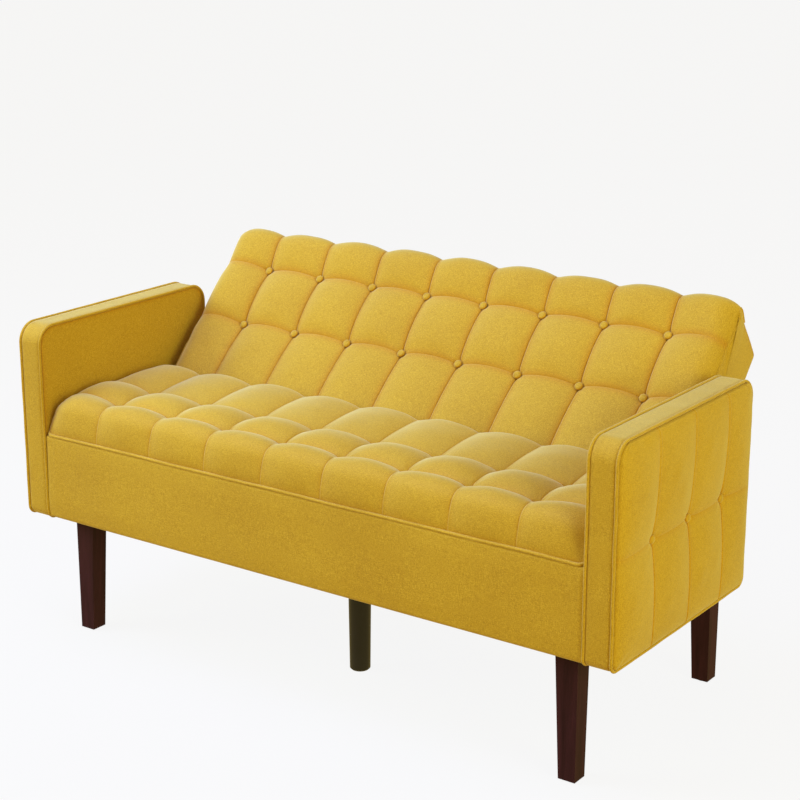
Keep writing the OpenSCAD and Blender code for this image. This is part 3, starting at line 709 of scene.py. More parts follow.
def wood(name, stops, grain=(70, 70, 5), roughness=(0.3, 0.45), specular=0.4, bump=0.15 * MM):
    """Straight grain along Z by default, with rings, pores and a satin finish that thins over the pores."""
    nodes = Nodes(name)
    place, _ = object_space(nodes)
    bend = nodes.noise(place, tuple(g * 0.35 for g in grain), detail=3)
    rings = nodes.noise(place, grain, detail=5, roughness=0.6, distortion=0.6)
    pores = nodes.noise(place, tuple(g * 9 for g in grain), detail=2)
    colour = nodes.ramp(nodes.total((rings, 0.6), (bend, 0.25), (pores, 0.15)), stops)
    height = nodes.total((rings, 0.5), (pores, 0.5))
    return nodes.finish(colour, nodes.mix(rings, *roughness), height, bump, specular=specular)


def grainy(name, dark, light, scale, roughness, bump, metallic=0.0, stretch=(1, 1, 1), **plain):
    """A moulded, painted, plated or felted surface: fine grain over slow stains."""
    nodes = Nodes(name)
    place, _ = object_space(nodes)
    fine = nodes.noise(place, tuple(scale * k for k in stretch), detail=4)
    slow = nodes.noise(place, (12, 12, 12), detail=3)
    tone = nodes.total((fine, 0.6), (slow, 0.4))
    colour = nodes.ramp(tone, [(0.3, dark), (0.7, light)])
    return nodes.finish(colour, nodes.mix(tone, *roughness), fine, bump, metallic=metallic, **plain)


materials = {
    "cloth": cloth("mustard_linen"),
    "cloth_back": cloth("mustard_linen_back", turn=BACK_ANGLE),
    "dark_wood": wood("mahogany_stain", [(0.35, (0.020, 0.004, 0.009)), (0.65, (0.055, 0.013, 0.026))],
                      roughness=(0.42, 0.6), specular=0.12),
    "pine": wood("sawn_pine", [(0.3, (0.42, 0.26, 0.12)), (0.7, (0.74, 0.55, 0.32))], grain=(9, 60, 60),
                 roughness=(0.6, 0.8)),
    "ply": wood("plain_ply", [(0.3, (0.5, 0.34, 0.18)), (0.7, (0.78, 0.6, 0.38))], grain=(60, 9, 40),
                roughness=(0.55, 0.75)),
    "black_plastic": grainy("black_plastic", (0.004, 0.003, 0.008), (0.014, 0.011, 0.022), 900, (0.3, 0.42),
                            0.05 * MM),
    "glide_plastic": grainy("glide_nylon", (0.01, 0.01, 0.01), (0.05, 0.05, 0.05), 700, (0.45, 0.65),
                            0.05 * MM),
    "zinc_steel": grainy("zinc_plate", (0.45, 0.44, 0.40), (0.72, 0.71, 0.68), 260, (0.28, 0.5), 0.03 * MM,
                         metallic=1.0, stretch=(1, 1, 0.15)),
    "black_steel": grainy("powder_coat", (0.008, 0.008, 0.009), (0.03, 0.03, 0.032), 1100, (0.4, 0.6),
                          0.08 * MM),
    "felt": grainy("needle_felt", (0.08, 0.08, 0.078), (0.26, 0.25, 0.23), 500, (0.9, 1.0), 0.6 * MM,
                   sheen=0.3),
    "webbing": grainy("elastic_webbing", (0.006, 0.006, 0.006), (0.05, 0.05, 0.05), 700, (0.7, 0.9),
                      0.3 * MM, stretch=(0.1, 1, 1)),
    "lining": grainy("spun_lining", (0.006, 0.006, 0.007), (0.035, 0.035, 0.037), 420, (0.85, 1.0),
                     0.25 * MM),
}


def dress(piece, body, slot, material=None, nodes=()):
    """Hides the CAD nodes a piece stands for, gives it its material, by default its slot's, and attaches it to its
    body.
    """
    if nodes:
        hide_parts(*nodes)
    piece.data.materials.append(materials[material or slot])
    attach(piece, body)


# ---- seat ----

def button_spots(node):
    """Middle of each button of a CAD node, in rows and columns of increasing X."""
    mesh = frame["nodes"][node].data
    parent = list(range(len(mesh.vertices)))

    def root(i):
        while parent[i] != i:
            parent[i] = parent[parent[i]]
            i = parent[i]
        return i

    first = {}
    for i, v in enumerate(mesh.vertices):
        parent[i] = root(first.setdefault(tuple(round(c, 5) for c in v.co), i))
    for face in mesh.polygons:
        for i in face.vertices[1:]:
            parent[root(i)] = root(face.vertices[0])
    groups = {}
    for i, v in enumerate(mesh.vertices):
        groups.setdefault(root(i), []).append(np.array(v.co))
    return sorted((np.mean([np.min(g, axis=0), np.max(g, axis=0)], axis=0) for g in groups.values()),
                  key=lambda p: (round(p[0], 3), p[1]))


def rolled(x, edge, reach, depth):
    """How far a cover has rolled down at x, on a quarter ellipse that ends at its edge."""
    t = np.clip((edge - np.abs(x)) / reach, 0, 1)
    return depth * (1 - np.sqrt(1 - (1 - t) ** 2))


def columns_of(spots, edge):
    """Seam columns through the buttons, with the cover's two ends."""
    return [-edge, *sorted({round(float(p[0]), 4) for p in spots}), edge]


def tuft_plan(columns, rows, button, border, rise, border_rise, crown):
    """Knot depths, seam rises and crowns of a tufted cover: button rows inside, plain edges all round.

    border gives the depth at the first row, the last row and both end columns.
    """
    first, last, ends = border
    knots = np.full((len(rows), len(columns)), button)
    knots[:, [0, -1]] = ends
    knots[0] = first
    knots[-1] = last
    across = np.full((len(rows), len(columns) - 1), rise)
    across[[0, -1]] = border_rise
    along = np.full((len(rows) - 1, len(columns)), rise)
    along[:, [0, -1]] = border_rise
    return knots, across, along, np.full((len(rows) - 1, len(columns) - 1), crown)


def tufted_seat():
    """The seat cushion: nine columns by three rows of pillows rolling over the front edge to the welt."""
    spots = button_spots("seat_buttons")
    edge = SEAT_HIGH[0] + ARM_MEET
    low, high = SEAT_LOW[1] - FRONT_Y, SEAT_HIGH[1] - FRONT_Y
    start_z = WELT_HIGH[2] - 1 * MM
    path = Path([(low, start_z), (low, SEAT_HIGH[2]), (high, SEAT_HIGH[2]), (high, start_z)],
                [0, 56 * MM, 28 * MM, 0])
    rows_y = sorted({round(float(p[1] - FRONT_Y), 4) for p in spots})
    rows = [0, *[path.find(0, y) for y in rows_y], path.length]
    columns = columns_of(spots, edge)
    plan = tuft_plan(columns, rows, button=17 * MM, border=(2 * MM, 9 * MM, 7 * MM), rise=9.5 * MM,
                     border_rise=2.0 * MM, crown=7.5 * MM)
    plan[3][0] = 4.5 * MM                   # the front row of pillows is flatter
    nose = path.find(0, 36 * MM)

    def reshape(x, s, height):
        """The cover rolls down beside the arms, more so at the front corners, and falls back to its welt."""
        near = np.exp(-((edge - np.abs(x)) / (42 * MM)) ** 2)
        height = height - 7 * MM * near * np.exp(-((s - nose) / (32 * MM)) ** 2)
        height = height - rolled(x, edge, 44 * MM, 15 * MM) * np.clip(0.2 + s / (60 * MM), 0, 1)
        height = height - 8 * MM * np.exp(-((s - 36 * MM) / (27 * MM)) ** 2)
        return x, height

    cover = Tufted(path, FLOOR_FRAME, columns, rows, plan, 11, reshape, bow=4 * MM)
    points = cover.settled(3.0, 8 * MM)
    threads = 0.6 * cover.threads()
    points = cover.sewn(points, threads)
    x, y = np.meshgrid(cover.across(), np.linspace(low + 6 * MM, high, len(cover.v)))
    inner = np.stack([x, y, np.full(x.shape, SEAT_LOW[2])], axis=2)
    # painted shade: darker seam grooves, a deeper tone beside the seams and a darker line beside the welt
    border = 0.4 * border_shade(cover.v) * np.ones_like(threads)
    shade = np.maximum.reduce([threads, 0.3 * FOLD_SEAM * cover.fold_shade_mask(), border])
    piece = shell("seat_pad", points, FLOOR_FRAME(inner), seam=shade)
    dress(piece, "base", "cloth", nodes=("seat_cushion",))
    return spots


def border_shade(steps):
    """Painted shade: a darker line where a cover tucks in beside a welt, on its first row."""
    return np.exp(-steps / 0.03)[:, None]


def dome(around=28):
    """Points, faces and seam values of a cloth-covered button about the origin, facing +Z."""
    profile = [(0.0, -0.25), (0.8, -0.25), (0.96, -0.05), (1.0, 0.2), (0.95, 0.48), (0.82, 0.72), (0.6, 0.9),
               (0.32, 0.98)]
    a = np.linspace(0, 2 * math.pi, around, endpoint=False)
    rings = []
    for r, z in profile[1:]:
        pleat = 1 + 0.012 * np.cos(7 * a) * (1 - max(z, 0))
        rings.append(np.stack([BUTTON_R * r * np.cos(a) * pleat, BUTTON_R * r * np.sin(a) * pleat,
                               np.full(around, z * BUTTON_H)], axis=1))
    points = np.concatenate([*rings, [(0, 0, profile[0][1] * BUTTON_H), (0, 0, BUTTON_H)]])
    count = len(rings)
    quads = quads_of(around, np.ones((count - 1, around), bool), True)
    first = np.arange(around)
    last = first + (count - 1) * around
    under = np.stack([np.roll(first, -1), first, np.full(around, count * around)], axis=1)
    over = np.stack([last, np.roll(last, -1), np.full(around, count * around + 1)], axis=1)
    # painted shade: the lowest rings darker, where the button sits in its pit
    shade = np.concatenate([np.repeat([1, 1, 0.8, 0.35, 0.1] + [0] * (count - 5), around), [1, 0]])
    return points, [quads, under, over], shade


def covered_buttons(name, node, body, spots, outward, across, sink, seed, material="cloth"):
    """Domed buttons at the spots, each tipped a little by hand, pulled in by sink below the CAD's place."""
    rng = np.random.default_rng(seed)
    outward, across = unit(np.array(outward, float)), unit(np.array(across, float))
    parts = []
    for spot in spots:
        tip = rng.normal(0, 0.05, 2)
        z = unit(outward + tip[0] * across + tip[1] * np.cross(outward, across))
        x = unit(across - z * (across @ z))
        points, faces, shade = dome()
        place = Place(spot - outward * sink, x, np.cross(z, x), z)
        parts.append((place(points), faces, shade))
    dress(joined(name, parts), body, "cloth", material, nodes=(node,))


def seat_front():
    """The plain front panel: cloth over thin wadding, tucked under the welt and under the rail."""
    path = Path([(6 * MM, WELT_LOW[2] + 1 * MM), (0.5 * MM, WELT_LOW[2] - 1 * MM), (0.5 * MM, FRONT_LOW[2]),
                 (FRONT_HIGH[1] - FRONT_Y, FRONT_LOW[2])], [0, 3 * MM, 5 * MM, 0])
    s = np.linspace(0, path.length, 44)
    edge = FRONT_HIGH[0] + ARM_MEET + 0.5 * MM
    x = np.linspace(-edge, edge, 250)
    points, normals = path.at(s)
    t = s / path.length
    body = np.clip(np.minimum(t * 6, (1 - t) * 5), 0, 1)[:, None]
    ends = np.clip((edge - np.abs(x)) / 0.02, 0, 1) ** 0.5
    height = -2.6 * MM * body * (1 - (2 * t[:, None] - 1) ** 4) * (0.4 + 0.6 * ends[None, :])
    height -= 0.7 * MM * waves(x[None, :], s[:, None], 5, 0.22) * body
    apart = edge - np.abs(x)
    drawn = np.exp(-apart / 0.03) * np.cos(apart * 2 * math.pi / 0.016)
    height += 0.9 * MM * drawn[None, :] * np.exp(-t[:, None] / 0.35) * body

    outer, inner = map(FLOOR_FRAME, two_skins(points[:, None], normals[:, None], height, 4 * MM, x[None]))
    piece = shell("seat_front_panel", outer[::-1], inner[::-1])
    dress(piece, "base", "cloth", nodes=("seat_front_cover",))


def seat_piping():
    """The welt along the seat's front edge, its ends turned in beside the arms."""
    edge = WELT_HIGH[0] + ARM_MEET
    radius = WELT_R + 0.5 * MM
    z = (WELT_LOW[2] + WELT_HIGH[2]) / 2
    x = np.linspace(-edge, edge, 320)
    tuck = np.clip(1 - (edge - np.abs(x)) / (14 * MM), 0, 1) ** 2
    line = np.stack([x, radius - 0.6 * MM + 9 * MM * tuck,
                     z + 4 * MM * tuck + 0.5 * MM * waves(x, x * 0, 21, 0.16)], axis=1)
    piece = joined("seat_welting", [sweep(FLOOR_FRAME(line), radius)])
    dress(piece, "base", "cloth", nodes=("seat_welt",))


# ---- arms ----

INNER_WELT_X = INNER_LOW[0] + WELT_R + 0.2 * MM
OUTER_WELT_X = PANEL_HIGH[0] - 2.5 * MM     # set in, as the outer panel swells past it
WELT_INSET = 0.5 * MM                       # how far inside the arm's outline the welts' centres run
PANEL_INSET = 2 * WELT_R - 1 * MM           # how far inside it the arm's two panels start
ARM_LOW = BAND_LOW - np.array([0, 1, 5]) * MM    # the padded arm is a little larger than its boards:
ARM_HIGH = BAND_HIGH + np.array([0, 5, 1]) * MM  # its cover hangs below them and stands out behind


def rim(inset, step):
    """Points round an arm's side view, drawn inset from its edge, as y and z."""
    low = (ARM_LOW[1] + inset, ARM_LOW[2] + inset)
    high = (ARM_HIGH[1] - inset, ARM_HIGH[2] - inset)
    corners = [low, (high[0], low[1]), high, (low[0], high[1])]
    rb, rt = ARM_R_BOTTOM - inset, ARM_R_TOP - inset
    path = Path(corners, [rb, rb, rt, rt], closed=True)
    count = round(path.length / step)
    s = np.arange(count) * path.length / count
    points, normals = path.at(s)
    return s, points, normals


def arm_boxing(side, way):
    """The band round an arm between its two welts, a little crowned, puckered at the corners."""
    s, points, normals = rim(0, 4.5 * MM)
    t = np.linspace(-1, 1, 25)
    t = np.sign(t) * (1 - (1 - np.abs(t)) ** 1.4)
    x = (INNER_WELT_X + OUTER_WELT_X) / 2 + t * ((OUTER_WELT_X - INNER_WELT_X) / 2 - 1 * MM)
    crown = 0.6 * MM - 3.6 * MM * np.abs(t) ** 9
    height = crown[:, None] + 0.35 * MM * waves(s, s * 0, 31 + way, 0.07)[None, :] * (1 - t[:, None] ** 2)
    outer, inner = two_skins(points[None], -normals[None], height, -6 * MM, x[:, None] * way)
    # painted shade: darker edges where the band meets its welts
    shade = np.broadcast_to(0.5 * (np.abs(t) ** 30)[:, None], height.shape)
    if way > 0:
        outer, inner, shade = outer[::-1], inner[::-1], shade[::-1]
    piece = shell(f"arm_boxing_{side}", outer, inner, closed=True, seam=shade)
    dress(piece, "base", "cloth", nodes=(f"arm_band_{side}",))


def arm_welting(side, way):
    """The two welts round an arm's rims."""
    s, points, _ = rim(WELT_INSET, 4 * MM)
    parts = []
    for x in (INNER_WELT_X, OUTER_WELT_X):
        drift = 0.3 * MM * waves(s, s * 0, round(x * 1000), 0.12)
        line = np.stack([way * (x + drift), points[:, 0], points[:, 1]], axis=1)
        parts.append(sweep(line, WELT_R, closed=True))
    piece = joined(f"arm_welting_{side}", parts)
    dress(piece, "base", "cloth", nodes=(f"arm_welts_{side}",))


def arm_lining(side, way):
    """The plain inner face of an arm."""
    _, points, _ = rim(PANEL_INSET, 6 * MM)
    plane = way * (INNER_LOW[0] + 2.5 * MM)
    loop = np.stack([np.full(len(points), plane), points[:, 0], points[:, 1]], axis=1)
    if way > 0:
        loop = loop[::-1]
    centre = np.array([plane, (ARM_LOW[1] + ARM_HIGH[1]) / 2, (ARM_LOW[2] + ARM_HIGH[2]) / 2])
    piece = cap(f"arm_inner_cover_{side}", loop, centre, 2.4 * MM, 3 * MM, np.array([-way, 0, 0]),
                dent=lambda p: 0.5 * MM * waves(p[..., 1], p[..., 2], 41 + way, 0.18))
    dress(piece, "base", "cloth", nodes=(f"arm_inner_panel_{side}",))


class ArmPanel(Tufted):
    """A tufted panel drawn in to the arm's rounded corners, with full edges that hang over its welt."""

    ROLL = 15 * MM
    FULL = 8.5 * MM
    OVER = 1.5 * MM
    REACH = 125 * MM

    def surface(self, height):
        low, high = ARM_LOW + PANEL_INSET, ARM_HIGH - PANEL_INSET
        y = np.broadcast_to(self.across()[None, :], height.shape)
        z = np.broadcast_to(self.along()[:, None], height.shape)
        borders = [np.clip(d / self.ROLL, 0, 1) for d in (y - low[1], high[1] - y, z - low[2], high[2] - z)]
        edge = np.sqrt(1 - (1 - np.minimum.reduce(borders)) ** 2)
        over = [self.OVER * np.sin(math.pi * b) for b in borders]
        rt, rb = ARM_R_TOP - PANEL_INSET, ARM_R_BOTTOM - PANEL_INSET
        up, down = np.clip(z - (high[2] - rt), 0, rt), np.clip(low[2] + rb - z, 0, rb)
        draw = rt - np.sqrt(rt ** 2 - up ** 2) + rb - np.sqrt(rb ** 2 - down ** 2)
        left = np.clip(1 - (y - low[1]) / self.REACH, 0, 1)
        right = np.clip(1 - (high[1] - y) / self.REACH, 0, 1)
        y = y + draw * (left ** 2 - right ** 2) - over[0] + over[1]
        z = z - over[2] + over[3]
        return self.place(np.stack([y, z, height * edge + self.FULL * edge], axis=2))


def arm_quilt(side, way):
    """The quilted outer face of an arm: four columns by two rows, with three buttons."""
    spots = sorted(button_spots(f"arm_buttons_{side}"), key=lambda p: p[1])
    low, high = ARM_LOW + PANEL_INSET, ARM_HIGH - PANEL_INSET
    columns = [low[1], *[float(p[1]) for p in spots], high[1]]
    rows = [low[2], float(spots[0][2]), high[2]]
    plan = tuft_plan(columns, rows, button=9 * MM, border=(2.0 * MM, 1.5 * MM, 2.0 * MM), rise=5.5 * MM,
                     border_rise=0.5 * MM, crown=2.6 * MM)
    plane = way * (OUTER_WELT_X + 0.5 * MM)
    place = Place((plane, 0, 0), (0, 1, 0), (0, 0, 1), (way, 0, 0))
    quilt = ArmPanel(None, place, columns, rows, plan, 51 + way)
    points = quilt.settled(2.0 * way, 5 * MM, slack=0.012)
    fade = np.clip((quilt.v - 1.06) * 8, 0, 1)[:, None]     # the column seams fade out above the buttons
    threads = quilt.threads(soft=0.85 * fade, level_soft=0.6)
    points = quilt.sewn(points, threads, facing=way)
    # painted shade: darker seam grooves and a deeper tone beside the seams
    shade = np.maximum(threads, 0.4 * FOLD_SEAM * quilt.fold_shade_mask())
    inner = points.copy()
    inner[..., 0] = plane - way * 4 * MM
    if way < 0:
        points, inner, shade = points[::-1], inner[::-1], shade[::-1]
    piece = shell(f"arm_outer_cover_{side}", points, inner, seam=shade)
    dress(piece, "base", "cloth", nodes=(f"arm_outer_panel_{side}",))
    covered_buttons(f"arm_tufts_{side}", f"arm_buttons_{side}", "base", spots, (way, 0, 0), (0, 1, 0),
                    0.5 * MM, 61 + way)


# ---- back ----

EAR_IN = 9.5 * MM                           # thickness of the back's cover in front of the hinge pockets
EDGE_X = BACK_END - 4 * MM                  # where the end panels start
TUFT_PULL = 3 * MM                          # how far each tufted row draws the back's ends in
CORNER_R = 19 * MM                          # radius of the back's top left corner
CORNER_LESS = 11 * MM                       # how much smaller the radius of its top right corner is
EAR_CUT = 6 * MM                            # how far the ends are cut in beside the hinge pockets
TOP_SEAM_RISE = 9 * MM                      # how far the column seams rise on their way over the top edge
CREST_LIFT = 2.5 * MM                       # how much fuller the cushion is along its top edge


def ear_cut(z):
    """How far the back's ends are cut in at a height above the hinge pin."""
    return EAR_CUT * np.clip((112 * MM - z) / (40 * MM), 0, 1)


def corner_cut(run, x):
    """How far the back's ends are cut in at a distance past the start of its rounded top corners."""
    less = np.where(x > 0, CORNER_LESS, 0)
    radius = CORNER_R - less
    run = np.clip(run - less, 0, 0.9 * radius)
    return radius - np.sqrt(radius ** 2 - run ** 2)


def end_drop(x, z, top):
    """How far the back's cover rolls down to its ends, least at the hinges and over the top corners."""
    deep = np.interp(z, (60 * MM, 330 * MM), (7 * MM, 25 * MM))
    return deep * rolled(x, EDGE_X, 42 * MM, 1.0) * (1 - np.where(x > 0, 0.85, 0.6) * top)


def tufted_back():
    """The back cushion: nine columns by three rows of pillows that roll over the top edge."""
    spots = button_spots("back_buttons")
    high = back_top(-BACK_FRONT)
    path = Path([(CUSHION_REAR, -BACK_FRONT), (-BACK_FRONT, -BACK_FRONT), (-BACK_FRONT, high),
                 (CUSHION_REAR, back_top(CUSHION_REAR))], [0, BACK_FRONT, BACK_R, 0])
    up_back = BACK_FRAME.axes[2]
    rows_z = sorted({round(float((p - BACK_FRAME.origin) @ up_back), 3) for p in spots})
    rows = [0, *[path.find(1, z) for z in rows_z], path.length]
    columns = columns_of(spots, EDGE_X)
    plan = tuft_plan(columns, rows, button=18 * MM, border=(3 * MM, 2 * MM, 3 * MM), rise=9 * MM,
                     border_rise=1.5 * MM, crown=8.0 * MM)
    plan[2][-1, 1:-1] = TOP_SEAM_RISE
    shoulder = path.find(1, high - CORNER_R - 8 * MM)
    crest = shoulder + 42 * MM

    def reshape(x, s, height):
        """The ends are drawn in at each tufted row, and the cover stays thin over the hinge pockets."""
        near = np.clip(1 - (EDGE_X - np.abs(x)) / (60 * MM), 0, 1) ** 2
        pull = sum(np.exp(-((s - row) / (26 * MM)) ** 2) for row in rows[1:-1])
        z = path.at(s)[0][..., 1]
        height = height + CREST_LIFT * np.exp(-((s - crest) / (24 * MM)) ** 2)
        height = height - end_drop(x, z, np.clip((s - shoulder) / CORNER_R, 0, 1))
        x = x - np.sign(x) * near * (TUFT_PULL * pull + corner_cut(s - shoulder, x) + ear_cut(z))
        return x, np.maximum(height, -6.5 * MM - 24 * MM * np.clip((z - 72 * MM) / (38 * MM), 0, 1))

    cover = Tufted(path, BACK_FRAME, columns, rows, plan, 12, reshape, bow=6 * MM)
    points = cover.settled(3.0, 8 * MM)
    threads = cover.threads(level_soft=0.45)
    points = cover.sewn(points, threads)
    x, s = np.meshgrid(cover.across(), cover.along())
    line, normals = path.at(cover.along())
    ear = (np.abs(x) > POCKET_X) & (line[:, 1] < POCKET_TOP)[:, None]
    thin = line[:, None, :] - normals[:, None, :] * EAR_IN
    thick = np.stack([np.full(len(line), CUSHION_REAR),
                      np.linspace(-BACK_FRONT + 6 * MM, back_top(CUSHION_REAR) - 6 * MM, len(line))], axis=1)
    side = np.where(ear[..., None], thin, thick[:, None, :])
    reach = EDGE_X - TUFT_PULL - 1 * MM - corner_cut(s - shoulder, x) - ear_cut(line[:, 1])[:, None]
    x = np.clip(x, -reach, reach)
    inner = BACK_FRAME(np.concatenate([x[..., None], side], axis=2))
    open_pocket = ear & (line[:, 1] < -20 * MM)[:, None]
    kept = ~(open_pocket[:-1, :-1] | open_pocket[:-1, 1:])
    # painted shade: darker seam grooves and a deeper tone beside the seams
    shade = np.maximum(threads, FOLD_SEAM * cover.fold_shade_mask())
    piece = shell("back_pad", points, inner, kept=kept, seam=shade)
    dress(piece, "back", "cloth", "cloth_back", nodes=("back_cushion",))
    return spots, {"left": points[:, 0], "right": points[:, -1]}


def back_casing():
    """Top strip, rear panel and bottom strip of the back in one cover, slotted for the hinge brackets."""
    r = 9 * MM
    path = Path([(CUSHION_REAR, back_top(CUSHION_REAR)), (BACK_REAR, back_top(BACK_REAR)),
                 (BACK_REAR, -BACK_TAIL), (CUSHION_REAR, -BACK_FRONT + 4 * MM)], [0, r, r, 0])
    s = np.linspace(0, path.length, 110)
    x = np.concatenate([[-EDGE_X], np.linspace(-POCKET_X, POCKET_X, 190), [EDGE_X]])
    points, normals = path.at(s)
    rear = np.clip((points[:, 0] - CUSHION_REAR) / (BACK_REAR - CUSHION_REAR), 0, 1)[:, None]
    t = (s / path.length)[:, None]
    ends = (np.clip((EDGE_X - np.abs(x)) / 0.05, 0, 1) ** 0.6)[None, :]
    height = 0.8 * MM * waves(x[None, :], s[:, None], 71, 0.25) * rear * ends
    height = height + 1.5 * MM * np.sin(math.pi * t) * ends * rear - 2.5 * MM
    fade = np.clip(1 - s / (80 * MM), 0, 1)[:, None] ** 1.5
    corner = corner_cut(CORNER_R, x)[None, :] * fade
    height = height - end_drop(x, BACK_H, 1.0)[None, :] * fade
    wide = x[None, :] - corner * np.clip(np.abs(x) - EDGE_X + 60 * MM, 0, 60 * MM) / (60 * MM) * np.sign(x)
    outer, inner = map(BACK_FRAME, two_skins(points[:, None], normals[:, None], height, -5.5 * MM, wide))
    middle = (x[:-1] + x[1:]) / 2
    low = (points[:-1, 1] < POCKET_TOP) & (points[:-1, 0] > CUSHION_REAR)
    kept = ~((np.abs(middle) > POCKET_X)[None, :] & low[:, None])
    piece = shell("back_casing", outer, inner, kept=kept)
    dress(piece, "back", "cloth", "cloth_back", nodes=("back_rear_panel", "back_band"))
    return {"left": outer[:, 0], "right": outer[:, -1]}


def back_end_panels(front_edges, rear_edges):
    """The boxed ends of the back, sewn to its wavy front edge with a ridge of seam allowance."""
    for side, way in SIDES.items():
        edge = np.concatenate([front_edges[side], rear_edges[side]])
        run = distances(edge)
        loop = sampled(np.linspace(0, run[-1], 260)[:-1], run, edge)
        centre = BACK_FRAME(np.array([way * (BACK_END - 3 * MM), 22 * MM, 150 * MM]))
        piece = cap(f"back_end_{side}", loop[::-1] if way > 0 else loop, centre, 3 * MM, 2.5 * MM,
                    np.array([way, 0, 0]), dent=lambda p: 0.5 * MM * waves(p[..., 1], p[..., 2], 81, 0.14))
        dress(piece, "back", "cloth", "cloth_back")
        ridge = sampled(np.linspace(0, run[len(front_edges[side]) - 1], 170), run, edge)
        ridge = joined(f"back_ridge_{side}", [sweep(ridge[12:-1], 1.7 * MM, sides=8)])
        dress(ridge, "back", "cloth", "cloth_back")


# ---- base ----

def apron():
    """Cloth over the rear rail and round its corners to the arms."""
    reach, rear = APRON_HIGH[0], APRON_HIGH[1]
    start = APRON_LOW[1]
    path = Path([(reach, start), (reach, rear), (-reach, rear), (-reach, start)], [0, 12 * MM, 12 * MM, 0])
    s = np.linspace(0, path.length, 300)
    z = np.linspace(APRON_LOW[2], APRON_HIGH[2], 26)
    points, normals = path.at(s)
    t = np.linspace(-1, 1, len(z))[:, None]
    height = (1.0 * MM - 2.2 * MM * np.abs(t) ** 6) * np.ones((1, len(s)))
    height = height + 0.5 * MM * waves(s[None, :], z[:, None], 91, 0.2)
    outer, inner = two_skins(points[None], -normals[None], height, -3.5 * MM, z[:, None], last=True)
    piece = shell("base_apron", outer, inner)
    dress(piece, "base", "cloth", nodes=("base_rear_cover",))


def from_edge(x, y):
    """Distance of each point of a level grid from the grid's nearest edge."""
    return np.minimum.reduce([x - x.min(), x.max() - x, y - y.min(), y.max() - y])


def deck():
    """The covered board behind the seat, slotted for the hinge brackets."""
    slot_low, slot_high = PIVOT[1] - 30 * MM, PIVOT[1] + 30 * MM
    slot_x = 583.5 * MM
    x = np.concatenate([[DECK_LOW[0]], np.linspace(-slot_x, slot_x, 150), [DECK_HIGH[0]]])
    y = np.concatenate([np.linspace(DECK_LOW[1], slot_low, 6), np.linspace(slot_low, slot_high, 10)[1:],
                        np.linspace(slot_high, DECK_HIGH[1], 24)[1:]])
    flat_x, flat_y = np.meshgrid(x, y)
    near = from_edge(flat_x, flat_y)
    rise = 1.5 * MM * np.clip(near / (8 * MM), 0, 1) ** 0.5 - 1.5 * MM
    rise = rise + 0.4 * MM * waves(flat_x, flat_y, 95, 0.15)
    outer = np.stack([flat_x, flat_y, DECK_HIGH[2] + rise], axis=2)
    inner = np.stack([flat_x, flat_y, np.full_like(rise, DECK_LOW[2])], axis=2)
    in_slot = (np.abs(x[:-1] + x[1:])[None, :] / 2 > slot_x) & (
        (y[:-1] >= slot_low - 1e-6) & (y[1:] <= slot_high + 1e-6))[:, None]
    piece = shell("deck_board", outer, inner, kept=~in_slot)
    dress(piece, "base", "cloth", nodes=("rear_deck",))


def dust_sheet():
    """The lining under the seat box, cut away round the leg plates, sagging a little between its edges."""
    plates = button_spots("leg_plates")
    size = 32 * MM
    x = np.linspace(DUST_LOW[0], DUST_HIGH[0], 121)
    y = np.linspace(DUST_LOW[1], DUST_HIGH[1], 61)
    flat_x, flat_y = np.meshgrid(x, y)
    middle_x, middle_y = (x[:-1] + x[1:]) / 2, (y[:-1] + y[1:]) / 2
    kept = np.ones((len(y) - 1, len(x) - 1), bool)
    near = from_edge(flat_x, flat_y)
    for plate in plates:
        cut = (np.abs(middle_x - plate[0]) < size)[None, :] & (np.abs(middle_y - plate[1]) < size)[:, None]
        kept &= ~cut
        near = np.minimum(near, np.maximum(np.abs(flat_x - plate[0]), np.abs(flat_y - plate[1])) - size)
    sag = -2.5 * MM * (1 - np.exp(-np.maximum(near, 0) / 0.08))
    top = DUST_LOW[2] + 1.6 * MM
    outer = np.stack([flat_x, flat_y, top + 0.6 * MM + sag], axis=2)
    inner = np.stack([flat_x, flat_y, top + sag], axis=2)
    piece = shell("dust_sheet", outer, inner, kept=kept)
    dress(piece, "base", "lining", nodes=("dust_cover",))


def finish_cad_nodes():
    """Softens the edges of the pieces that stay as the CAD model has them, and gives each its material."""
    widths = {"leg_front": 1.6, "leg_rear": 1.6, "centre_leg": 1.2, "hinge": 0.5, "pawl": 0.4, "rail": 1.5,
              "stiles": 1.5, "blocks": 2.0, "frame": 1.5, "plates": 0.4}
    slots = {part["node"]: part["material_slot"] for part in frame["record"]["subparts"]}
    for name, node in frame["nodes"].items():
        if node.hide_render:
            continue
        for slot in node.material_slots:
            slot.material = materials[slots[name]]
        width = next((w for key, w in widths.items() if key in name), 0)
        if width:
            node.modifiers.new("weld", "WELD").merge_threshold = 0.01 * MM
            bevel = node.modifiers.new("bevel", "BEVEL")
            bevel.width = width * MM
            bevel.segments = 3
            bevel.limit_method = "ANGLE"
            bevel.harden_normals = True


# ---- the sofa ----

seat_spots = tufted_seat()
covered_buttons("seat_tufts", "seat_buttons", "base", seat_spots, (0, 0, 1), (1, 0, 0), 5 * MM, 13)
seat_front()
seat_piping()
for side, way in SIDES.items():
    arm_boxing(side, way)
    arm_welting(side, way)
    arm_lining(side, way)
    arm_quilt(side, way)
back_spots, front_edges = tufted_back()
covered_buttons("back_tufts", "back_buttons", "back", back_spots, -BACK_FRAME.axes[1], (1, 0, 0), -0.5 * MM,
                14, "cloth_back")
back_end_panels(front_edges, back_casing())
apron()
deck()
dust_sheet()
finish_cad_nodes()


# ---- studio ----

def stage_piece(name, points, faces, material):
    """A surface of the studio that the camera sees and that throws no light on the sofa."""
    mesh = bpy.data.meshes.new(name)
    mesh.from_pydata(points, [], faces)
    mesh.materials.append(material)
    made = add_object(name, mesh)
    made.visible_diffuse = False
    made.visible_glossy = False
    return made


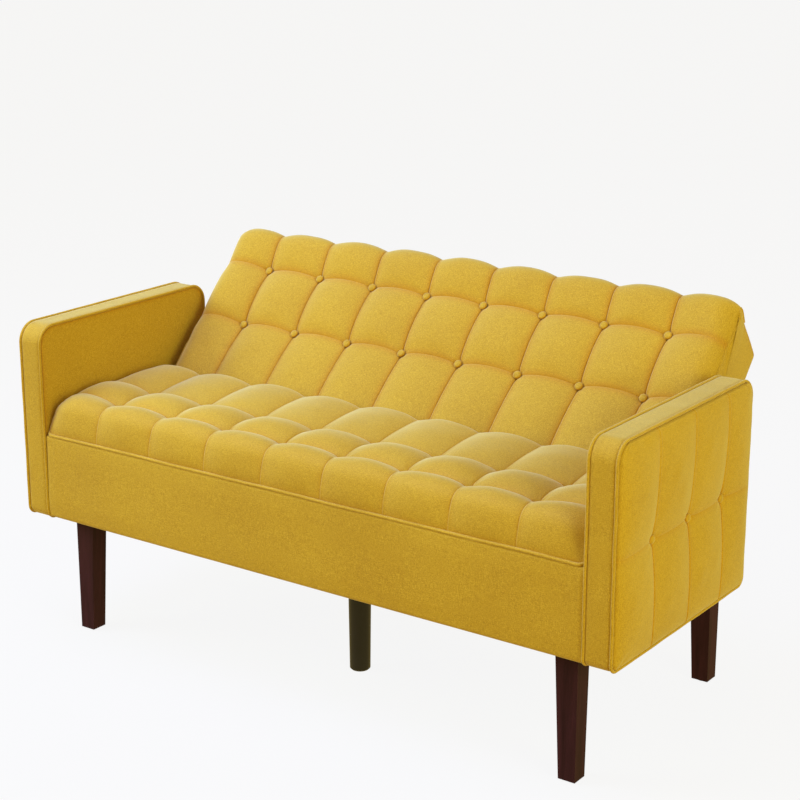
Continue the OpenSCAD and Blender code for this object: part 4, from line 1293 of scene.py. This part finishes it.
def backdrop(material):
    """A round wall far off, as pale as the floor, that hides the room in low views and casts no shadow."""
    around, radius, low, high = 96, 55, -1, 60      # metres, inside the floor's edge
    turns = [2 * math.pi * k / around for k in range(around)]
    points = [(radius * math.cos(a), radius * math.sin(a), z) for z in (low, high) for a in turns]
    faces = [(k, (k + 1) % around, (k + 1) % around + around, k + around) for k in range(around)]
    stage_piece("backdrop", points, faces, material).visible_shadow = False


def studio():
    """A plain pale floor and backdrop, three soft lamps and a warm room, brighter below than above."""
    nodes = Nodes("pale_floor")
    place, _ = object_space(nodes)
    stains = nodes.noise(place, (3, 3, 3))
    colour = nodes.ramp(stains, [(0.0, (0.045, 0.040, 0.050)), (1.0, (0.050, 0.045, 0.055))])
    nodes.finish(colour, 0.8, nodes.noise(place, (60, 60, 60)), 0.01 * MM, specular=0.0)
    nodes.shader.inputs["Emission Color"].default_value = (1, 1, 1, 1)
    nodes.shader.inputs["Emission Strength"].default_value = 0.90
    size = 60                               # metres, far enough for the backdrop to stand on
    corners = [(-size, -size, 0), (size, -size, 0), (size, size, 0), (-size, size, 0)]
    stage_piece("floor", corners, [(0, 1, 2, 3)], nodes.material)
    backdrop(nodes.material)

    world = bpy.data.worlds.new("room")
    world.use_nodes = True
    tree = world.node_tree
    height = tree.nodes.new("ShaderNodeSeparateXYZ")
    tree.links.new(tree.nodes.new("ShaderNodeTexCoord").outputs["Generated"], height.inputs[0])
    share = tree.nodes.new("ShaderNodeMapRange")
    share.inputs["From Min"].default_value = -0.25
    share.inputs["From Max"].default_value = 0.25
    tree.links.new(height.outputs["Z"], share.inputs["Value"])
    tones = tree.nodes.new("ShaderNodeValToRGB")
    tree.links.new(share.outputs[0], tones.inputs[0])
    for element, tone in zip(tones.color_ramp.elements, ((0.62, 0.47, 0.15), (0.46, 0.40, 0.14))):
        element.color = (*tone, 1)
    tree.links.new(tones.outputs["Color"], tree.nodes["Background"].inputs["Color"])
    bpy.context.scene.world = world

    def lamp(name, place, aim, size, power, tint):
        light = bpy.data.lights.new(name, "AREA")
        light.shape, light.size, light.energy, light.color = "DISK", size, power, tint
        ob = add_object(name, light)
        ob.location = place
        ob.rotation_euler = (Vector(aim) - Vector(place)).to_track_quat("-Z", "Y").to_euler()

    middle = (0, 0, 0.4)
    lamp("softbox_above", (-0.9, -0.7, 3.2), middle, 2.4, 96, (0.43, 0.592, 1.15))
    lamp("softbox_right", (3.6, -1.2, 1.5), middle, 2.0, 74, (0.87, 1.03, 0.53))
    lamp("softbox_left", (-3.0, -2.4, 2.0), middle, 2.0, 60, (1.28, 1.72, 1.35))


def photo_camera():
    """The camera at the photograph's viewing angle."""
    data = bpy.data.cameras.new("camera")
    data.sensor_width = 36
    data.lens = 84.70                       # fitted, like the place and the turn, to the photograph
    camera = add_object("camera", data)
    camera.location = (2.0639, -2.8717, 1.5655)
    camera.rotation_euler = (math.radians(73.6472), 0, math.radians(35.5092))
    bpy.context.scene.camera = camera


studio()
photo_camera()
bpy.context.scene.view_settings.view_transform = "Standard"
